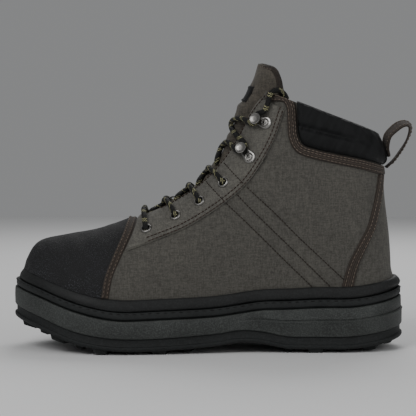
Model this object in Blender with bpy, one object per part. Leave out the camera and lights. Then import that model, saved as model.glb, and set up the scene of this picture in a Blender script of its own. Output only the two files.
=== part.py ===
"""Wading boot for the left foot, as a set of separate solids.

Metres, +Z up. The toe points to -X, the outer side of the foot to -Y, and the boot stands on Z = 0.
The origin is on the floor, halfway along the boot and across its ball.
"""

import math

import bmesh
import bpy
import numpy as np
from mathutils import Vector

# Driving dimensions of the sole, in metres
SOLE_LENGTH = 0.318
BALL_WIDTH = 0.117  # sole, at the ball
TOE_SPRING = 0.0235  # lift of the lip's underside at the toe's tip
LUG_DEPTH = 0.0034
LIP_HEIGHT = 0.0040  # the tread's pale edge
BAND_HEIGHT = 0.0060  # the recessed dark band above it
WALL_HEIGHT = 0.0236  # midsole wall at the heel
WELT_HEIGHT = 0.0068
RAND_HEIGHT = 0.0092
TOE_REACH = 0.072  # length over which the outline rounds in to the toe
HEEL_REACH = 0.044

# Driving dimensions of the upper
UPPER_HEIGHT = 0.176  # from the welt at the ball up to the collar's front
UPPER_INSET = 0.009  # from the sole's edge in to the upper
WALL = 0.0024  # cloth, foam and lining of the quarters
CAP_THICKNESS = 0.0016
STAY_THICKNESS = 0.0010
BINDING_THICKNESS = 0.0012
BINDING_WIDTH = 0.0078
TOE_BINDING_WIDTH = 0.0055
PIPING_WIDTH = 0.0095
RIM_SETBACK = 0.03  # rows between the braid and the collar's rim
STAY_SETBACK = 0.0008  # of the eyestay from the throat's edge
PAD_THICKNESS = 0.0052
PAD_START = 0.0370  # along the binding from its front end
PAD_ROW_RISE = 0.0190  # height of the guiding row above the collar's rim
PAD_CAP_SPLIT = 8
TONGUE_BULGE = 0.0095  # of its middle between the eyestays, at the ankle
TONGUE_AHEAD = 0.035  # ahead of the throat, share of SOLE_LENGTH
TONGUE_GAP = 0.0013  # to the upper's inner face
TONGUE_HALF = 0.0310  # half width along the surface's plan
TONGUE_THICKNESS = 0.0065
INSOLE_THICKNESS = 0.0045
INSOLE_CLEARANCE = 0.0020  # to the upper's inner face
RAND_THICKNESS = 0.0030
LOOP_WIDTH = 0.016
LOOP_THICKNESS = 0.0018
LOOP_OVERHANG = 0.0060  # past the sole's heel
LACE_DIAMETER = 0.0042
EYELET_BORE = 0.0025  # radius
EYELET_METAL = 0.0004
EYELET_FLANGE = 0.0047  # radius
HOOK_HEAD = 0.0050  # half of its width
HOOK_METAL = 0.0012
HOOK_THROAT = 0.0048  # room for the lace under the head
PATCH_THICKNESS = 0.0010
KEEPER_LENGTH = 0.0110  # along the tongue
KEEPER_WIDTH = 0.0070
KEEPER_RISE = 0.0036
KEEPER_METAL = 0.0012
GAP = 0.0003  # between pieces that touch
CURVED_GAP = 0.0007  # between facetted pieces that follow each other
SEAT_GAP = 0.0006  # under a flat flange or plate on the curved eyestay
STAY_GAP = 0.0011  # under the eyestay
RAND_GAP = 0.0017  # inside the rand, where the heel and toe turn
CAP_GAP = 0.0012  # under the cap, where the toe curves most
FOOT_GAP = 0.0009  # between the rand and what stands on it or under it

TOE_X = -(SOLE_LENGTH + LOOP_OVERHANG) / 2
HEEL_X = TOE_X + SOLE_LENGTH
HALF_BALL = BALL_WIDTH / 2

# Sole sections from the heel (0) to the toe (1)
# along: share of SOLE_LENGTH; half, drift: shares of HALF_BALL, drift towards the inner side
# lift: underside of the lip, share of TOE_SPRING; wall: share of WALL_HEIGHT
SOLE_ROWS = (
    # along, half, drift, lift, wall
    (0.00, 0.72, 0.00, 0.44, 1.02),
    (0.06, 0.73, 0.00, 0.27, 1.00),
    (0.14, 0.75, 0.00, 0.13, 0.99),
    (0.22, 0.75, -0.01, 0.12, 0.99),
    (0.30, 0.745, -0.02, 0.14, 0.92),
    (0.365, 0.75, -0.03, 0.31, 0.73),
    (0.42, 0.77, -0.035, 0.36, 0.58),
    (0.49, 0.82, -0.03, 0.235, 0.585),
    (0.62, 0.94, -0.01, 0.12, 0.63),
    (0.73, 1.00, 0.00, 0.12, 0.61),
    (0.83, 0.98, 0.04, 0.33, 0.67),
    (0.92, 0.93, 0.08, 0.76, 0.66),
    (0.97, 0.90, 0.11, 0.98, 0.64),
    (1.00, 0.88, 0.12, 1.10, 0.63),
)

# Sections of the upper, each on a line in side view from the front or top of the last to its base or back
# top_x, base_x: shares of SOLE_LENGTH from the heel
# top_z, base_z: shares of UPPER_HEIGHT above the ball's welt, with None where the line ends on the welt
# top, middle: half widths, shares of HALF_BALL
# reach: length over which the front rounds over, share of UPPER_HEIGHT
UPPER_ROWS = (
    # top_x, top_z, base_x, base_z, top, middle, reach
    (0.9720, 0.125, 0.9720, None, 0.72, 0.73, 0.14),
    (0.9620, 0.208, 0.9640, None, 0.72, 0.73, 0.15),
    (0.9320, 0.286, 0.9350, None, 0.73, 0.75, 0.17),
    (0.8620, 0.318, 0.8620, None, 0.78, 0.80, 0.23),
    (0.7800, 0.346, 0.7780, None, 0.82, 0.84, 0.27),
    (0.6980, 0.397, 0.6900, None, 0.82, 0.845, 0.30),
    (0.6100, 0.468, 0.5850, None, 0.76, 0.79, 0.30),
    (0.5220, 0.568, 0.4500, None, 0.70, 0.72, 0.29),
    (0.4650, 0.680, 0.3050, None, 0.66, 0.67, 0.27),
    (0.4330, 0.775, 0.1500, None, 0.64, 0.655, 0.25),
    (0.4210, 0.820, 0.0290, None, 0.635, 0.65, 0.245),
    (0.4130, 0.855, 0.0290, 0.190, 0.63, 0.65, 0.24),
    (0.4020, 0.900, 0.0340, 0.330, 0.625, 0.645, 0.235),
    (0.3920, 0.940, 0.0450, 0.490, 0.62, 0.64, 0.235),
    (0.3830, 0.974, 0.0540, 0.655, 0.61, 0.63, 0.235),
    (0.3750, 1.010, 0.0765, 0.798, 0.60, 0.62, 0.235),
    (0.3530, 1.112, 0.0900, 0.940, 0.59, 0.61, 0.235),
)
CORNER_ROW = 10  # at the heel's base; from here a line ends on the back of the heel
COLLAR_ROW = 15  # the collar's rim; the row above it only guides the tongue and the pad

# Half gap of the throat; top_x: share of SOLE_LENGTH where the front line has it, gap: share of HALF_BALL
THROAT_ROWS = (
    (0.6750, 0.00),
    (0.6730, 0.07),
    (0.6660, 0.13),
    (0.6560, 0.16),
    (0.6450, 0.18),
    (0.5900, 0.21),
    (0.4950, 0.22),
    (0.4400, 0.25),
    (0.4120, 0.28),
    (0.3920, 0.32),
    (0.3740, 0.38),
)

# Lines of the upper in side view: shares of SOLE_LENGTH from the heel and of UPPER_HEIGHT above the ball
STAY_EDGE = (
    (0.7160, 0.262),
    (0.6200, 0.325),
    (0.5540, 0.375),
    (0.4890, 0.446),
    (0.4360, 0.518),
    (0.3960, 0.589),
    (0.3570, 0.696),
    (0.3310, 0.790),
    (0.3110, 0.892),
    (0.3070, 0.908),
)
BINDING_LINE = (
    (0.3370, 0.968),
    (0.3060, 0.962),
    (0.2920, 0.920),
    (0.2900, 0.850),
    (0.2870, 0.785),
    (0.2704, 0.733),
    (0.2296, 0.706),
    (0.1796, 0.686),
    (0.1123, 0.660),
    (0.0560, 0.632),
)
PIPING_LINE = (
    (0.0600, 0.630),
    (0.0616, 0.606),
    (0.0704, 0.492),
    (0.0874, 0.379),
    (0.1138, 0.286),
    (0.1350, 0.200),
    (0.1490, 0.104),
)
CAP_EDGE = (
    (0.7000, 0.395),
    (0.7130, 0.330),
    (0.7380, 0.230),
    (0.7560, 0.150),
    (0.7650, 0.060),
    (0.7680, 0.020),
)
# Middle of the pull loop's webbing in side view, between its seats on the collar's back
LOOP_LINE = (
    (0.0384, 0.787),
    (0.0220, 0.822),
    (0.0047, 0.844),
    (-0.0110, 0.848),
    (-0.0198, 0.832),
    (-0.0176, 0.799),
    (-0.0050, 0.749),
    (0.0204, 0.682),
)
LOOP_SEATS = (0.695, 0.735, 0.645)  # heights of its upper seam's foot and top, and of its lower seam
EYELETS = ((0.6540, 0.362), (0.5800, 0.422), (0.5190, 0.488), (0.4590, 0.575))
PATCH_ROWS = (12.9, 15.0)
KEEPER_AT = 0.5920
HOOKS = ((0.3935, 0.692, 0.4065, 0.722), (0.3535, 0.847, 0.3700, 0.856))  # rivet, then head

LATERAL, MEDIAL = -1, 1
SIDES = ((LATERAL, "lateral"), (MEDIAL, "medial"))
TIP_ROWS = (0.0, 0.12, 0.35, 0.68)  # rows of the toe's tip, close together where it turns over
HEEL_ROWS = (9.35, 9.62, 9.80, 9.92, 9.98)  # rows of the heel's base, where it turns round
RING_COLUMNS = 10  # facets from the front line to the base, on each side
RAND_COLUMNS = 28
SOLE_COLUMNS = 20  # facets from the heel to the toe, on each side


def smooth_rows(rows, steps):
    """Rows of a table joined by smooth curves, steps to a row."""
    rows = np.array(rows, float)
    spot = np.linspace(0, len(rows) - 1, (len(rows) - 1) * steps + 1)
    left = np.minimum(spot.astype(int), len(rows) - 2)
    part = (spot - left)[:, None]
    padded = np.vstack([2 * rows[0] - rows[1], rows, 2 * rows[-1] - rows[-2]])
    a, b, c, d = (padded[left + k] for k in range(4))
    slope_b, slope_c = (c - a) / 2, (d - b) / 2
    return (
        b * (2 * part**3 - 3 * part**2 + 1)
        + slope_b * (part**3 - 2 * part**2 + part)
        + c * (3 * part**2 - 2 * part**3)
        + slope_c * (part**3 - part**2)
    )


def round_end(share, power=2.0):
    """Growth of a width from a round end: 0 at the end, 1 from share 1 on."""
    rest = 1 - np.clip(share, 0, 1)
    return (1 - rest**power) ** (1 / power)


def along_x(along):
    return HEEL_X - SOLE_LENGTH * np.asarray(along, float)


SOLE_CURVE = smooth_rows(SOLE_ROWS, 12)


def sole_value(column, x):
    along = (HEEL_X - np.asarray(x, float)) / SOLE_LENGTH
    return np.interp(along, SOLE_CURVE[:, 0], SOLE_CURVE[:, column])


def centre(x):
    return HALF_BALL * sole_value(2, x)


def half_outline(x, inset):
    """Half width of the sole's outline at x, drawn in by inset all round."""
    full = HALF_BALL * sole_value(1, x) - inset
    toe = round_end((x - TOE_X - inset) / (TOE_REACH - inset), 2.15)
    heel = round_end((HEEL_X - inset - x) / (HEEL_REACH - inset), 2.15)
    return full * toe * heel


def lip_z(x):
    return TOE_SPRING * sole_value(3, x)


def lip_top(x):
    return lip_z(x) + LIP_HEIGHT


def band_top(x):
    return lip_top(x) + BAND_HEIGHT


def wall_top(x):
    return band_top(x) + WALL_HEIGHT * sole_value(4, x)


def welt_top(x):
    return wall_top(x) + WELT_HEIGHT


def rand_top(x):
    return welt_top(x) + RAND_HEIGHT


BALL_WELT = float(welt_top(along_x(0.70)))


def side_point(share_x, share_z):
    """A point of the side view from its shares."""
    return np.stack([along_x(share_x), BALL_WELT + UPPER_HEIGHT * np.asarray(share_z, float)], -1)


class Last:
    """The upper's outer surface, by row u and share q from the front line round to the base or back."""

    STEPS = 16

    def __init__(self):
        rows = []
        for top_x, top_z, base_x, base_z, top, middle, reach in UPPER_ROWS:
            tx, tz = side_point(top_x, top_z)
            bx = float(along_x(base_x))
            bz = float(welt_top(bx)) + GAP if base_z is None else float(side_point(base_x, base_z)[1])
            rows.append((tx, tz, bx, bz, HALF_BALL * top, HALF_BALL * middle, UPPER_HEIGHT * reach))
        tip_x, tip_z = rows[0][2], rows[0][3]
        rows[0] = (tip_x, tip_z + GAP, tip_x, tip_z, *rows[0][4:])
        self.table = smooth_rows(rows, self.STEPS)
        self.rows = len(rows) - 1
        floor = slice(0, CORNER_ROW * self.STEPS + 1)
        self.table[floor, 3] = welt_top(self.table[floor, 2]) + GAP
        back = self.table[CORNER_ROW * self.STEPS :]
        self.back_z, self.back_x = back[:, 3], back[:, 2]

    def values(self, u):
        spot = np.clip(np.asarray(u, float), 0, self.rows) * self.STEPS
        grid = np.arange(len(self.table))
        return [np.interp(spot, grid, column) for column in self.table.T]

    def back(self, z):
        return np.interp(z, self.back_z, self.back_x)

    def spread(self, u):
        """Turn that q makes: a quarter where the line ends on the welt, a half where it ends on the back."""
        closing = np.clip((np.asarray(u, float) - CORNER_ROW + 2) / 2, 0, 1)
        return math.pi / 2 * (1 + closing)

    def share(self, u, q):
        turn = self.spread(u)
        return (1 - np.cos(q * turn)) / (1 - np.cos(turn))

    def column(self, u, share):
        turn = self.spread(u)
        return np.arccos(np.clip(1 - share * (1 - np.cos(turn)), -1, 1)) / turn

    def half_width(self, u, q):
        tx, tz, bx, bz, top, middle, reach = self.values(u)
        t = self.share(u, q)
        x, z = tx + (bx - tx) * t, tz + (bz - tz) * t
        end = HALF_BALL * sole_value(1, bx) - UPPER_INSET
        level = top * (1 - t) * (1 - 2 * t) + 4 * middle * t * (1 - t) + end * t * (2 * t - 1)
        front = round_end(t * np.hypot(bx - tx, bz - tz) / reach, 2.2)
        toe = round_end((x - TOE_X - UPPER_INSET) / (TOE_REACH - UPPER_INSET), 2.15)
        heel = round_end((self.back(z) - x) / (HEEL_REACH - UPPER_INSET), 2.15)
        return x, z, level * front * toe * heel

    def place(self, u, q, side):
        x, z, half = self.half_width(u, q)
        return np.stack([x, centre(x) + side * half, z], -1)

    def point(self, u, q, side, out=0.0):
        """A point of the surface, moved out along the surface's own direction."""
        u, q = np.broadcast_arrays(np.asarray(u, float), np.asarray(q, float))
        step = 0.02
        u_0, u_1 = np.clip(u - step, 0.05, self.rows), np.clip(u + step, 0.07, self.rows)
        q_0, q_1 = np.clip(q - step, 0, 1), np.clip(q + step, 0, 1)
        along = self.place(u_1, q, side) - self.place(u_0, q, side)
        around = self.place(u, q_1, side) - self.place(u, q_0, side)
        around = np.where((u < 0.05)[..., None], np.array([0.0, float(side), 0.0]), around)
        normal = np.cross(around, along) * -side
        flat = np.zeros_like(along[..., 0])
        on_front = (q < 1e-6)[..., None]
        on_back = ((q > 1 - 1e-6) & (u >= CORNER_ROW - 1e-6))[..., None]
        normal = np.where(on_front, np.stack([-along[..., 2], flat, along[..., 0]], -1), normal)
        normal = np.where(on_back, np.stack([along[..., 2], flat, -along[..., 0]], -1), normal)
        normal /= np.linalg.norm(normal, axis=-1, keepdims=True)
        normal = np.where((u < 1e-6)[..., None], np.array([-1.0, 0.0, 0.0]), normal)
        return self.place(u, q, side) + normal * np.asarray(out, float)[..., None], normal

    def locate(self, xz):
        """Row and column of points of the side view."""
        xz = np.atleast_2d(np.asarray(xz, float))
        top, base = self.table[:, 0:2], self.table[:, 2:4]
        line = base - top
        gap_x = xz[:, None, 0] - top[None, :, 0]
        gap_z = xz[:, None, 1] - top[None, :, 1]
        cross = line[None, :, 0] * gap_z - line[None, :, 1] * gap_x
        cross[:, : self.STEPS // 4] = cross[:, self.STEPS // 4, None]
        ahead = cross < 0
        index = np.clip(np.argmax(ahead, axis=1) - 1, 0, len(top) - 2)
        index = np.where(ahead.any(axis=1), index, len(top) - 2)
        rows = np.arange(len(xz))
        low, high = cross[rows, index], cross[rows, index + 1]
        part = np.clip(low / np.where(np.abs(low - high) < 1e-15, 1, low - high), 0, 1)
        u = (index + part) / self.STEPS
        tx, tz, bx, bz = self.values(u)[:4]
        length = np.hypot(bx - tx, bz - tz)
        share = ((xz[:, 0] - tx) * (bx - tx) + (xz[:, 1] - tz) * (bz - tz)) / length**2
        return u, self.column(u, np.clip(share, 0, 1))

    def at_width(self, u, half):
        """Column at which row u is half wide, counted from the front."""
        columns = np.linspace(0, 0.6, 61)
        found = [np.interp(h, self.half_width(v, columns)[2], columns)
                 for v, h in zip(np.ravel(u), np.ravel(half))]
        return np.array(found).reshape(np.shape(u))

    def row_at_back(self, z):
        """Row whose line ends on the back of the heel at height z."""
        count = len(self.back_z)
        return CORNER_ROW + np.interp(z, self.back_z, np.arange(count)) / self.STEPS

    def row_at_front(self, x):
        """Row whose front line stands at x."""
        spot = np.interp(-x, -self.table[::-1, 0], np.arange(len(self.table))[::-1])
        return spot / self.STEPS


LAST = Last()


def half_gap(u):
    """Half width of the throat at row u, 0 ahead of it."""
    front = (HEEL_X - LAST.values(u)[0]) / SOLE_LENGTH
    curve = smooth_rows(THROAT_ROWS, 8)
    return HALF_BALL * np.maximum(np.interp(-front, -curve[:, 0], curve[:, 1], left=0.0), 0.0)


def throat_columns(u, setback=0.0):
    """Column of the throat's edge at row u, 0 ahead of the throat."""
    gap = half_gap(u)
    return np.where(gap > 0, LAST.at_width(u, np.maximum(gap, 1e-6) + setback), 0.0)


def clear_scene():
    for obj in list(bpy.data.objects):
        bpy.data.objects.remove(obj)


def material(name, colour, roughness, metallic=0.0):
    made = bpy.data.materials.get(name) or bpy.data.materials.new(name)
    made.use_nodes = True
    shader = made.node_tree.nodes["Principled BSDF"]
    shader.inputs["Base Color"].default_value = (*colour, 1.0)
    shader.inputs["Roughness"].default_value = roughness
    shader.inputs["Metallic"].default_value = metallic
    made.diffuse_color = (*colour, 1.0)
    return made


def finishes():
    return {
        "cloth": material("olive_grey_cloth", (0.085, 0.080, 0.068), 0.85),
        "cap": material("black_pebbled_rubber", (0.022, 0.022, 0.024), 0.55),
        "braid": material("brown_braid", (0.045, 0.032, 0.027), 0.8),
        "neoprene": material("black_neoprene", (0.012, 0.013, 0.013), 0.6),
        "rubber": material("black_rubber", (0.020, 0.021, 0.021), 0.6),
        "foam": material("grey_green_foam", (0.055, 0.062, 0.060), 0.7),
        "steel": material("dark_nickel", (0.45, 0.45, 0.46), 0.25, 1.0),
        "lace": material("black_lace", (0.02, 0.02, 0.018), 0.8),
        "lining": material("grey_lining", (0.05, 0.05, 0.05), 0.9),
    }


class Sheet:
    """Faces between points that each have an outer and an inner place, closed into one solid."""

    def __init__(self):
        self.index, self.outer, self.inner, self.faces = {}, [], [], []

    def number(self, outer, inner):
        key = tuple(round(float(c) * 2e5) for c in outer)
        if key not in self.index:
            self.index[key] = len(self.outer)
            self.outer.append(tuple(map(float, outer)))
            self.inner.append(tuple(map(float, inner)))
        return self.index[key]

    def grid(self, outer, inner, turned=False):
        rows, columns = outer.shape[:2]
        ids = [[self.number(outer[i, j], inner[i, j]) for j in range(columns)] for i in range(rows)]
        for i in range(rows - 1):
            for j in range(columns - 1):
                face = [ids[i][j], ids[i][j + 1], ids[i + 1][j + 1], ids[i + 1][j]]
                face = [v for k, v in enumerate(face) if v != face[k - 1]]
                if len(set(face)) >= 3:
                    self.faces.append(face[::-1] if turned else face)

    def solid(self, name, finish):
        count = len(self.outer)
        edges = {}
        for face in self.faces:
            for a, b in zip(face, face[1:] + face[:1]):
                edges[(a, b)] = edges.get((a, b), 0) + 1
        rim = [(a, b) for (a, b) in edges if (b, a) not in edges]
        faces = [list(f) for f in self.faces]
        faces += [[v + count for v in reversed(f)] for f in self.faces]
        faces += [[b, a, a + count, b + count] for a, b in rim]
        return mesh_object(name, self.outer + self.inner, faces, finish)


def mesh_object(name, points, faces, finish, smooth=True):
    mesh = bpy.data.meshes.new(name)
    mesh.from_pydata([tuple(map(float, p)) for p in points], [], faces)
    shape = bmesh.new()
    shape.from_mesh(mesh)
    bmesh.ops.remove_doubles(shape, verts=shape.verts, dist=1e-6)
    bmesh.ops.dissolve_degenerate(shape, edges=shape.edges, dist=1e-7)
    bmesh.ops.recalc_face_normals(shape, faces=shape.faces)
    shape.to_mesh(mesh)
    shape.free()
    mesh.materials.append(finish)
    if smooth:
        mesh.shade_smooth()
        mesh.set_sharp_from_angle(angle=math.radians(40))
    obj = bpy.data.objects.new(name, mesh)
    bpy.context.scene.collection.objects.link(obj)
    return obj


def upper_rows_for(first, last, pitch=0.0210):
    """Rows between first and last, spread so that no strip is much wider than pitch."""
    rows = [first]
    for k in range(int(math.floor(first)), int(math.ceil(last))):
        a, b = max(first, k), min(last, k + 1)
        if b - a < 1e-6:
            continue
        ends = [LAST.values(v) for v in (a, b)]
        reach = max(
            math.hypot(ends[1][0] - ends[0][0], ends[1][1] - ends[0][1]),
            math.hypot(ends[1][2] - ends[0][2], ends[1][3] - ends[0][3]),
        )
        parts = max(1, round(reach / pitch))
        rows.extend(a + (b - a) * (n + 1) / parts for n in range(parts))
    return np.array(rows)


def upper(finish):
    """Quarters and vamp in one hollow wall, open at throat, collar and base."""
    opening = [float(LAST.row_at_front(along_x(row[0]))) for row in THROAT_ROWS[:5]]
    rows = np.concatenate([TIP_ROWS, upper_rows_for(1.0, opening[0]), opening[1:],
                           upper_rows_for(opening[-1], HEEL_ROWS[0])[1:], HEEL_ROWS[1:],
                           upper_rows_for(CORNER_ROW, COLLAR_ROW)])
    edge = throat_columns(rows)
    share = np.linspace(0, 1, RING_COLUMNS + 1)
    columns = edge[:, None] + (1 - edge[:, None]) * share[None, :]
    sheet = Sheet()
    for side in (LATERAL, MEDIAL):
        outer, _ = LAST.point(rows[:, None], columns, side)
        inner, _ = LAST.point(rows[:, None], columns, side, np.full(columns.shape, -WALL))
        sheet.grid(outer, inner, side == MEDIAL)
    return sheet.solid("upper", finish)


def ring(x, inset, height):
    """Both sides of an outline as one array: side, station, point."""
    half = half_outline(x, inset)
    z = np.broadcast_to(height, x.shape)
    return np.array([np.stack([x, centre(x) + side * half, z], -1) for side in (LATERAL, MEDIAL)])


def stations(inset):
    """Stations along the sole, close together at the round ends."""
    turn = np.linspace(0, math.pi, SOLE_COLUMNS + 1)
    toe, heel = TOE_X + float(inset(TOE_X)), HEEL_X - float(inset(HEEL_X))
    return (toe + heel) / 2 - (heel - toe) / 2 * np.cos(turn)


def sole_layer(name, rings, finish):
    """A solid through outlines: each ring is an inset, a number or a function of x, and a height over x."""
    loops = []
    for inset, height in rings:
        drawn_in = inset if callable(inset) else lambda x, amount=inset: amount + 0 * x
        x = stations(drawn_in)
        loops.append(ring(x, drawn_in(x), height(x)))
    points, faces, count = [], [], SOLE_COLUMNS + 1
    for loop in loops:
        points.extend(loop.reshape(-1, 3))
    size = 2 * count
    for k in range(len(loops) - 1):
        for side in range(2):
            for i in range(count - 1):
                a = k * size + side * count + i
                faces.append([a, a + 1, a + 1 + size, a + size])
    for k in (0, len(loops) - 1):
        for i in range(count - 1):
            a = k * size + i
            faces.append([a, a + 1, a + 1 + count, a + count])
    return mesh_object(name, points, faces, finish)


def outsole(finish):
    """Tread with its lip, a recessed band above it, and lugs below."""
    band = 0.0017
    base = sole_layer(
        "outsole",
        (
            (0.0030, lip_z),
            (0.0006, lambda x: lip_z(x) + 0.0008),
            (0.0, lambda x: lip_z(x) + 0.0018),
            (0.0, lambda x: lip_top(x) - 0.0004),
            (band, lip_top),
            (band, lambda x: band_top(x) - GAP),
        ),
        finish,
    )
    tread = lugs(finish)
    union = base.modifiers.new("lugs", "BOOLEAN")
    union.operation, union.object, union.solver = "UNION", tread, "EXACT"
    return base


# Lug rows from the heel: along is a share of SOLE_LENGTH, edge tells whether the row reaches the lip
LUG_ROWS = (
    (0.038, False),
    (0.086, True),
    (0.155, False),
    (0.223, True),
    (0.290, False),
    (0.545, False),
    (0.612, True),
    (0.685, False),
    (0.758, True),
    (0.812, False),
    (0.867, True),
    (0.908, False),
    (0.950, True),
)
LUG_LENGTH = 0.0095
LUG_TAPER = 0.0012


def lug(x, length, y_0, y_1, skew):
    """A tapered block from y_0 to y_1, its foot flat on the floor where the sole is."""
    long, wide = length / 2, (y_1 - y_0) / 2
    middle = (y_0 + y_1) / 2
    points = []
    for taper, foot in ((0.0, False), (LUG_TAPER, True)):
        for sx, sy in ((-1, -1), (1, -1), (1, 1), (-1, 1)):
            px = x + sx * (long - taper) + skew * sy * wide
            py = middle + sy * (wide - taper)
            low = float(lip_z(px))
            points.append((px, py, max(0.0, low - LUG_DEPTH) if foot else low + 0.0015))
    faces = [[0, 1, 2, 3], [4, 5, 6, 7]] + [[i, (i + 1) % 4, (i + 1) % 4 + 4, i + 4] for i in range(4)]
    return points, faces


def lugs(finish):
    points, faces = [], []
    for along, to_edge in LUG_ROWS:
        x = float(along_x(along))
        side_inset = 0.0014 if to_edge else 0.0085
        length = LUG_LENGTH * (1.3 if to_edge else 0.85)
        outer = float(half_outline(np.array([x - length * 0.7, x, x + length * 0.7]), 0.0).min()) - side_inset
        middle = float(centre(x))
        blocks = ((-1.0, -0.42, 0.22), (-0.26, 0.26, 0.0), (0.42, 1.0, -0.22))
        for start, end, skew in blocks:
            block, sides = lug(x, length, middle + outer * start, middle + outer * end, skew)
            base = len(points)
            points.extend(block)
            faces.extend([[base + v for v in side] for side in sides])
    tread = mesh_object("lug_blocks", points, faces, finish, smooth=False)
    tread.hide_render = True
    tread.display_type = "WIRE"
    return tread


def midsole(finish):
    """Foam wall with a bevel at each edge and a shallow step round the heel."""
    step = 0.0007

    def heel_step(x):
        return step * np.clip((x - along_x(0.44)) / (SOLE_LENGTH * 0.08), 0, 1)

    def mid(x):
        return band_top(x) + 0.56 * (wall_top(x) - band_top(x))

    def inset_at(amount):
        return lambda x: amount + heel_step(x)

    return sole_layer(
        "midsole",
        (
            (0.0012, band_top),
            (0.0002, lambda x: band_top(x) + 0.0012),
            (0.0, lambda x: mid(x) - 0.0004),
            (inset_at(0.0), lambda x: mid(x) + 0.0004),
            (inset_at(0.0004), lambda x: wall_top(x) - 0.0016),
            (inset_at(0.0020), lambda x: wall_top(x) - GAP),
        ),
        finish,
    )


def welt(finish):
    """Stitched strip between two grooves, with the lasting board that closes the upper's base."""
    groove, ridge = 0.0048, 0.0019
    return sole_layer(
        "welt",
        (
            (groove, wall_top),
            (groove, lambda x: wall_top(x) + 0.0022),
            (ridge, lambda x: wall_top(x) + 0.0030),
            (ridge, lambda x: welt_top(x) - 0.0014),
            (groove, lambda x: welt_top(x) - GAP),
        ),
        finish,
    )


def skirt(height, out, count):
    """Points round the upper at a share of the rand's height, from the heel's back to the toe."""
    def level(x):
        return welt_top(x) + FOOT_GAP + (RAND_HEIGHT - FOOT_GAP) * height

    def reach(end, inward):
        x = end
        for _ in range(30):
            z = level(x)
            front = np.interp(z, LAST.table[: 2 * LAST.STEPS, 1], LAST.table[: 2 * LAST.STEPS, 0])
            x = float(LAST.back(z)) if inward < 0 else float(front)
        return x

    heel, toe = reach(HEEL_X - UPPER_INSET, -1), reach(TOE_X + UPPER_INSET, 1)
    turn = np.linspace(0, math.pi, count + 1)
    x = (heel + toe) / 2 + (heel - toe) / 2 * np.cos(turn)
    loops = []
    for side in (LATERAL, MEDIAL):
        xz = np.stack([x, level(x)], -1)
        u, q = LAST.locate(xz)
        base = LAST.place(u, q, side)
        for end in (0, -1):
            base[end] = x[end], centre(x[end]), level(x[end])
        ahead = np.roll(base, -1, axis=0) - np.roll(base, 1, axis=0)
        ahead[0], ahead[-1] = (0, side, 0), (0, -side, 0)
        normal = np.stack([ahead[:, 1], -ahead[:, 0], np.zeros(len(x))], -1) * side
        normal /= np.linalg.norm(normal, axis=1, keepdims=True)
        moved = base + normal * out
        moved[:, 2] = level(moved[:, 0])
        loops.append(moved)
    return loops


RAND_SECTION = ((0.0, 1.5), (0.3, 1.5), (1.0, 0.6))  # share of its height, share of its thickness


def rand(finish):
    """Rubber strip round the foot of the upper, leaning in to it."""
    count = RAND_COLUMNS
    outer = [skirt(h, CURVED_GAP + RAND_THICKNESS * o, count) for h, o in RAND_SECTION]
    inner = [skirt(h, RAND_GAP, count) for h in (0.0, 1.0)]
    points, faces = [], []
    rings = [*outer, *reversed(inner)]
    for loops in rings:
        for loop in loops:
            points.extend(loop)
    size = 2 * (count + 1)
    for k in range(len(rings)):
        below, above = k * size, (k + 1) % len(rings) * size
        for side in range(2):
            for i in range(count):
                a, b = below + side * (count + 1) + i, above + side * (count + 1) + i
                faces.append([a, a + 1, b + 1, b])
    return mesh_object("rand", points, faces, finish)


def insole(finish):
    inset = UPPER_INSET + WALL + INSOLE_CLEARANCE
    return sole_layer(
        "insole",
        (
            (inset + 0.0010, lambda x: welt_top(x) + GAP),
            (inset, lambda x: welt_top(x) + 0.0012),
            (inset, lambda x: welt_top(x) + INSOLE_THICKNESS - 0.0010),
            (inset + 0.0012, lambda x: welt_top(x) + INSOLE_THICKNESS),
        ),
        finish,
    )


def smooth_line(shares, steps=12):
    """A smooth side view curve through table shares, in metres."""
    return side_point(*smooth_rows(shares, steps).T)


def evenly(fine, pitch):
    """Points about pitch apart on a curve."""
    run = np.concatenate([[0], np.cumsum(np.linalg.norm(np.diff(fine, axis=0), axis=1))])
    spot = np.linspace(0, run[-1], max(2, int(math.ceil(run[-1] / pitch)) + 1))
    return np.stack([np.interp(spot, run, column) for column in fine.T], -1)


def down_to_rand(fine):
    """The part of a side view curve that lies above the rand."""
    above = fine[:, 1] - rand_top(fine[:, 0]) - FOOT_GAP
    return fine[: int(np.argmax(above < 0)) + 1] if (above < 0).any() else fine


def beside(line):
    """Unit vectors across a side view line."""
    ahead = np.gradient(line, axis=0)
    ahead /= np.linalg.norm(ahead, axis=1, keepdims=True)
    return np.stack([ahead[:, 1], -ahead[:, 0]], -1)


def trace(fine, to_back=False):
    """Rows and columns of a side view curve, its last point on the back of the heel if asked."""
    u, q = LAST.locate(fine)
    u = np.minimum(u, COLLAR_ROW - RIM_SETBACK)
    q = np.maximum(q, throat_columns(u, STAY_SETBACK))
    if to_back:
        u[-1], q[-1] = LAST.row_at_back(fine[-1, 1]), 1.0
    return u, q


def pick(u, q, pitch, skip=0.0):
    """Spots on a traced curve that lie about pitch apart on the surface, as positions in its list."""
    fine = LAST.place(u, q, LATERAL)
    run = np.concatenate([[0], np.cumsum(np.linalg.norm(np.diff(fine, axis=0), axis=1))])
    count = max(3, int(math.ceil((run[-1] - skip) / pitch)) + 1)
    return np.interp(np.linspace(skip, run[-1], count), run, np.arange(len(run)))


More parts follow.
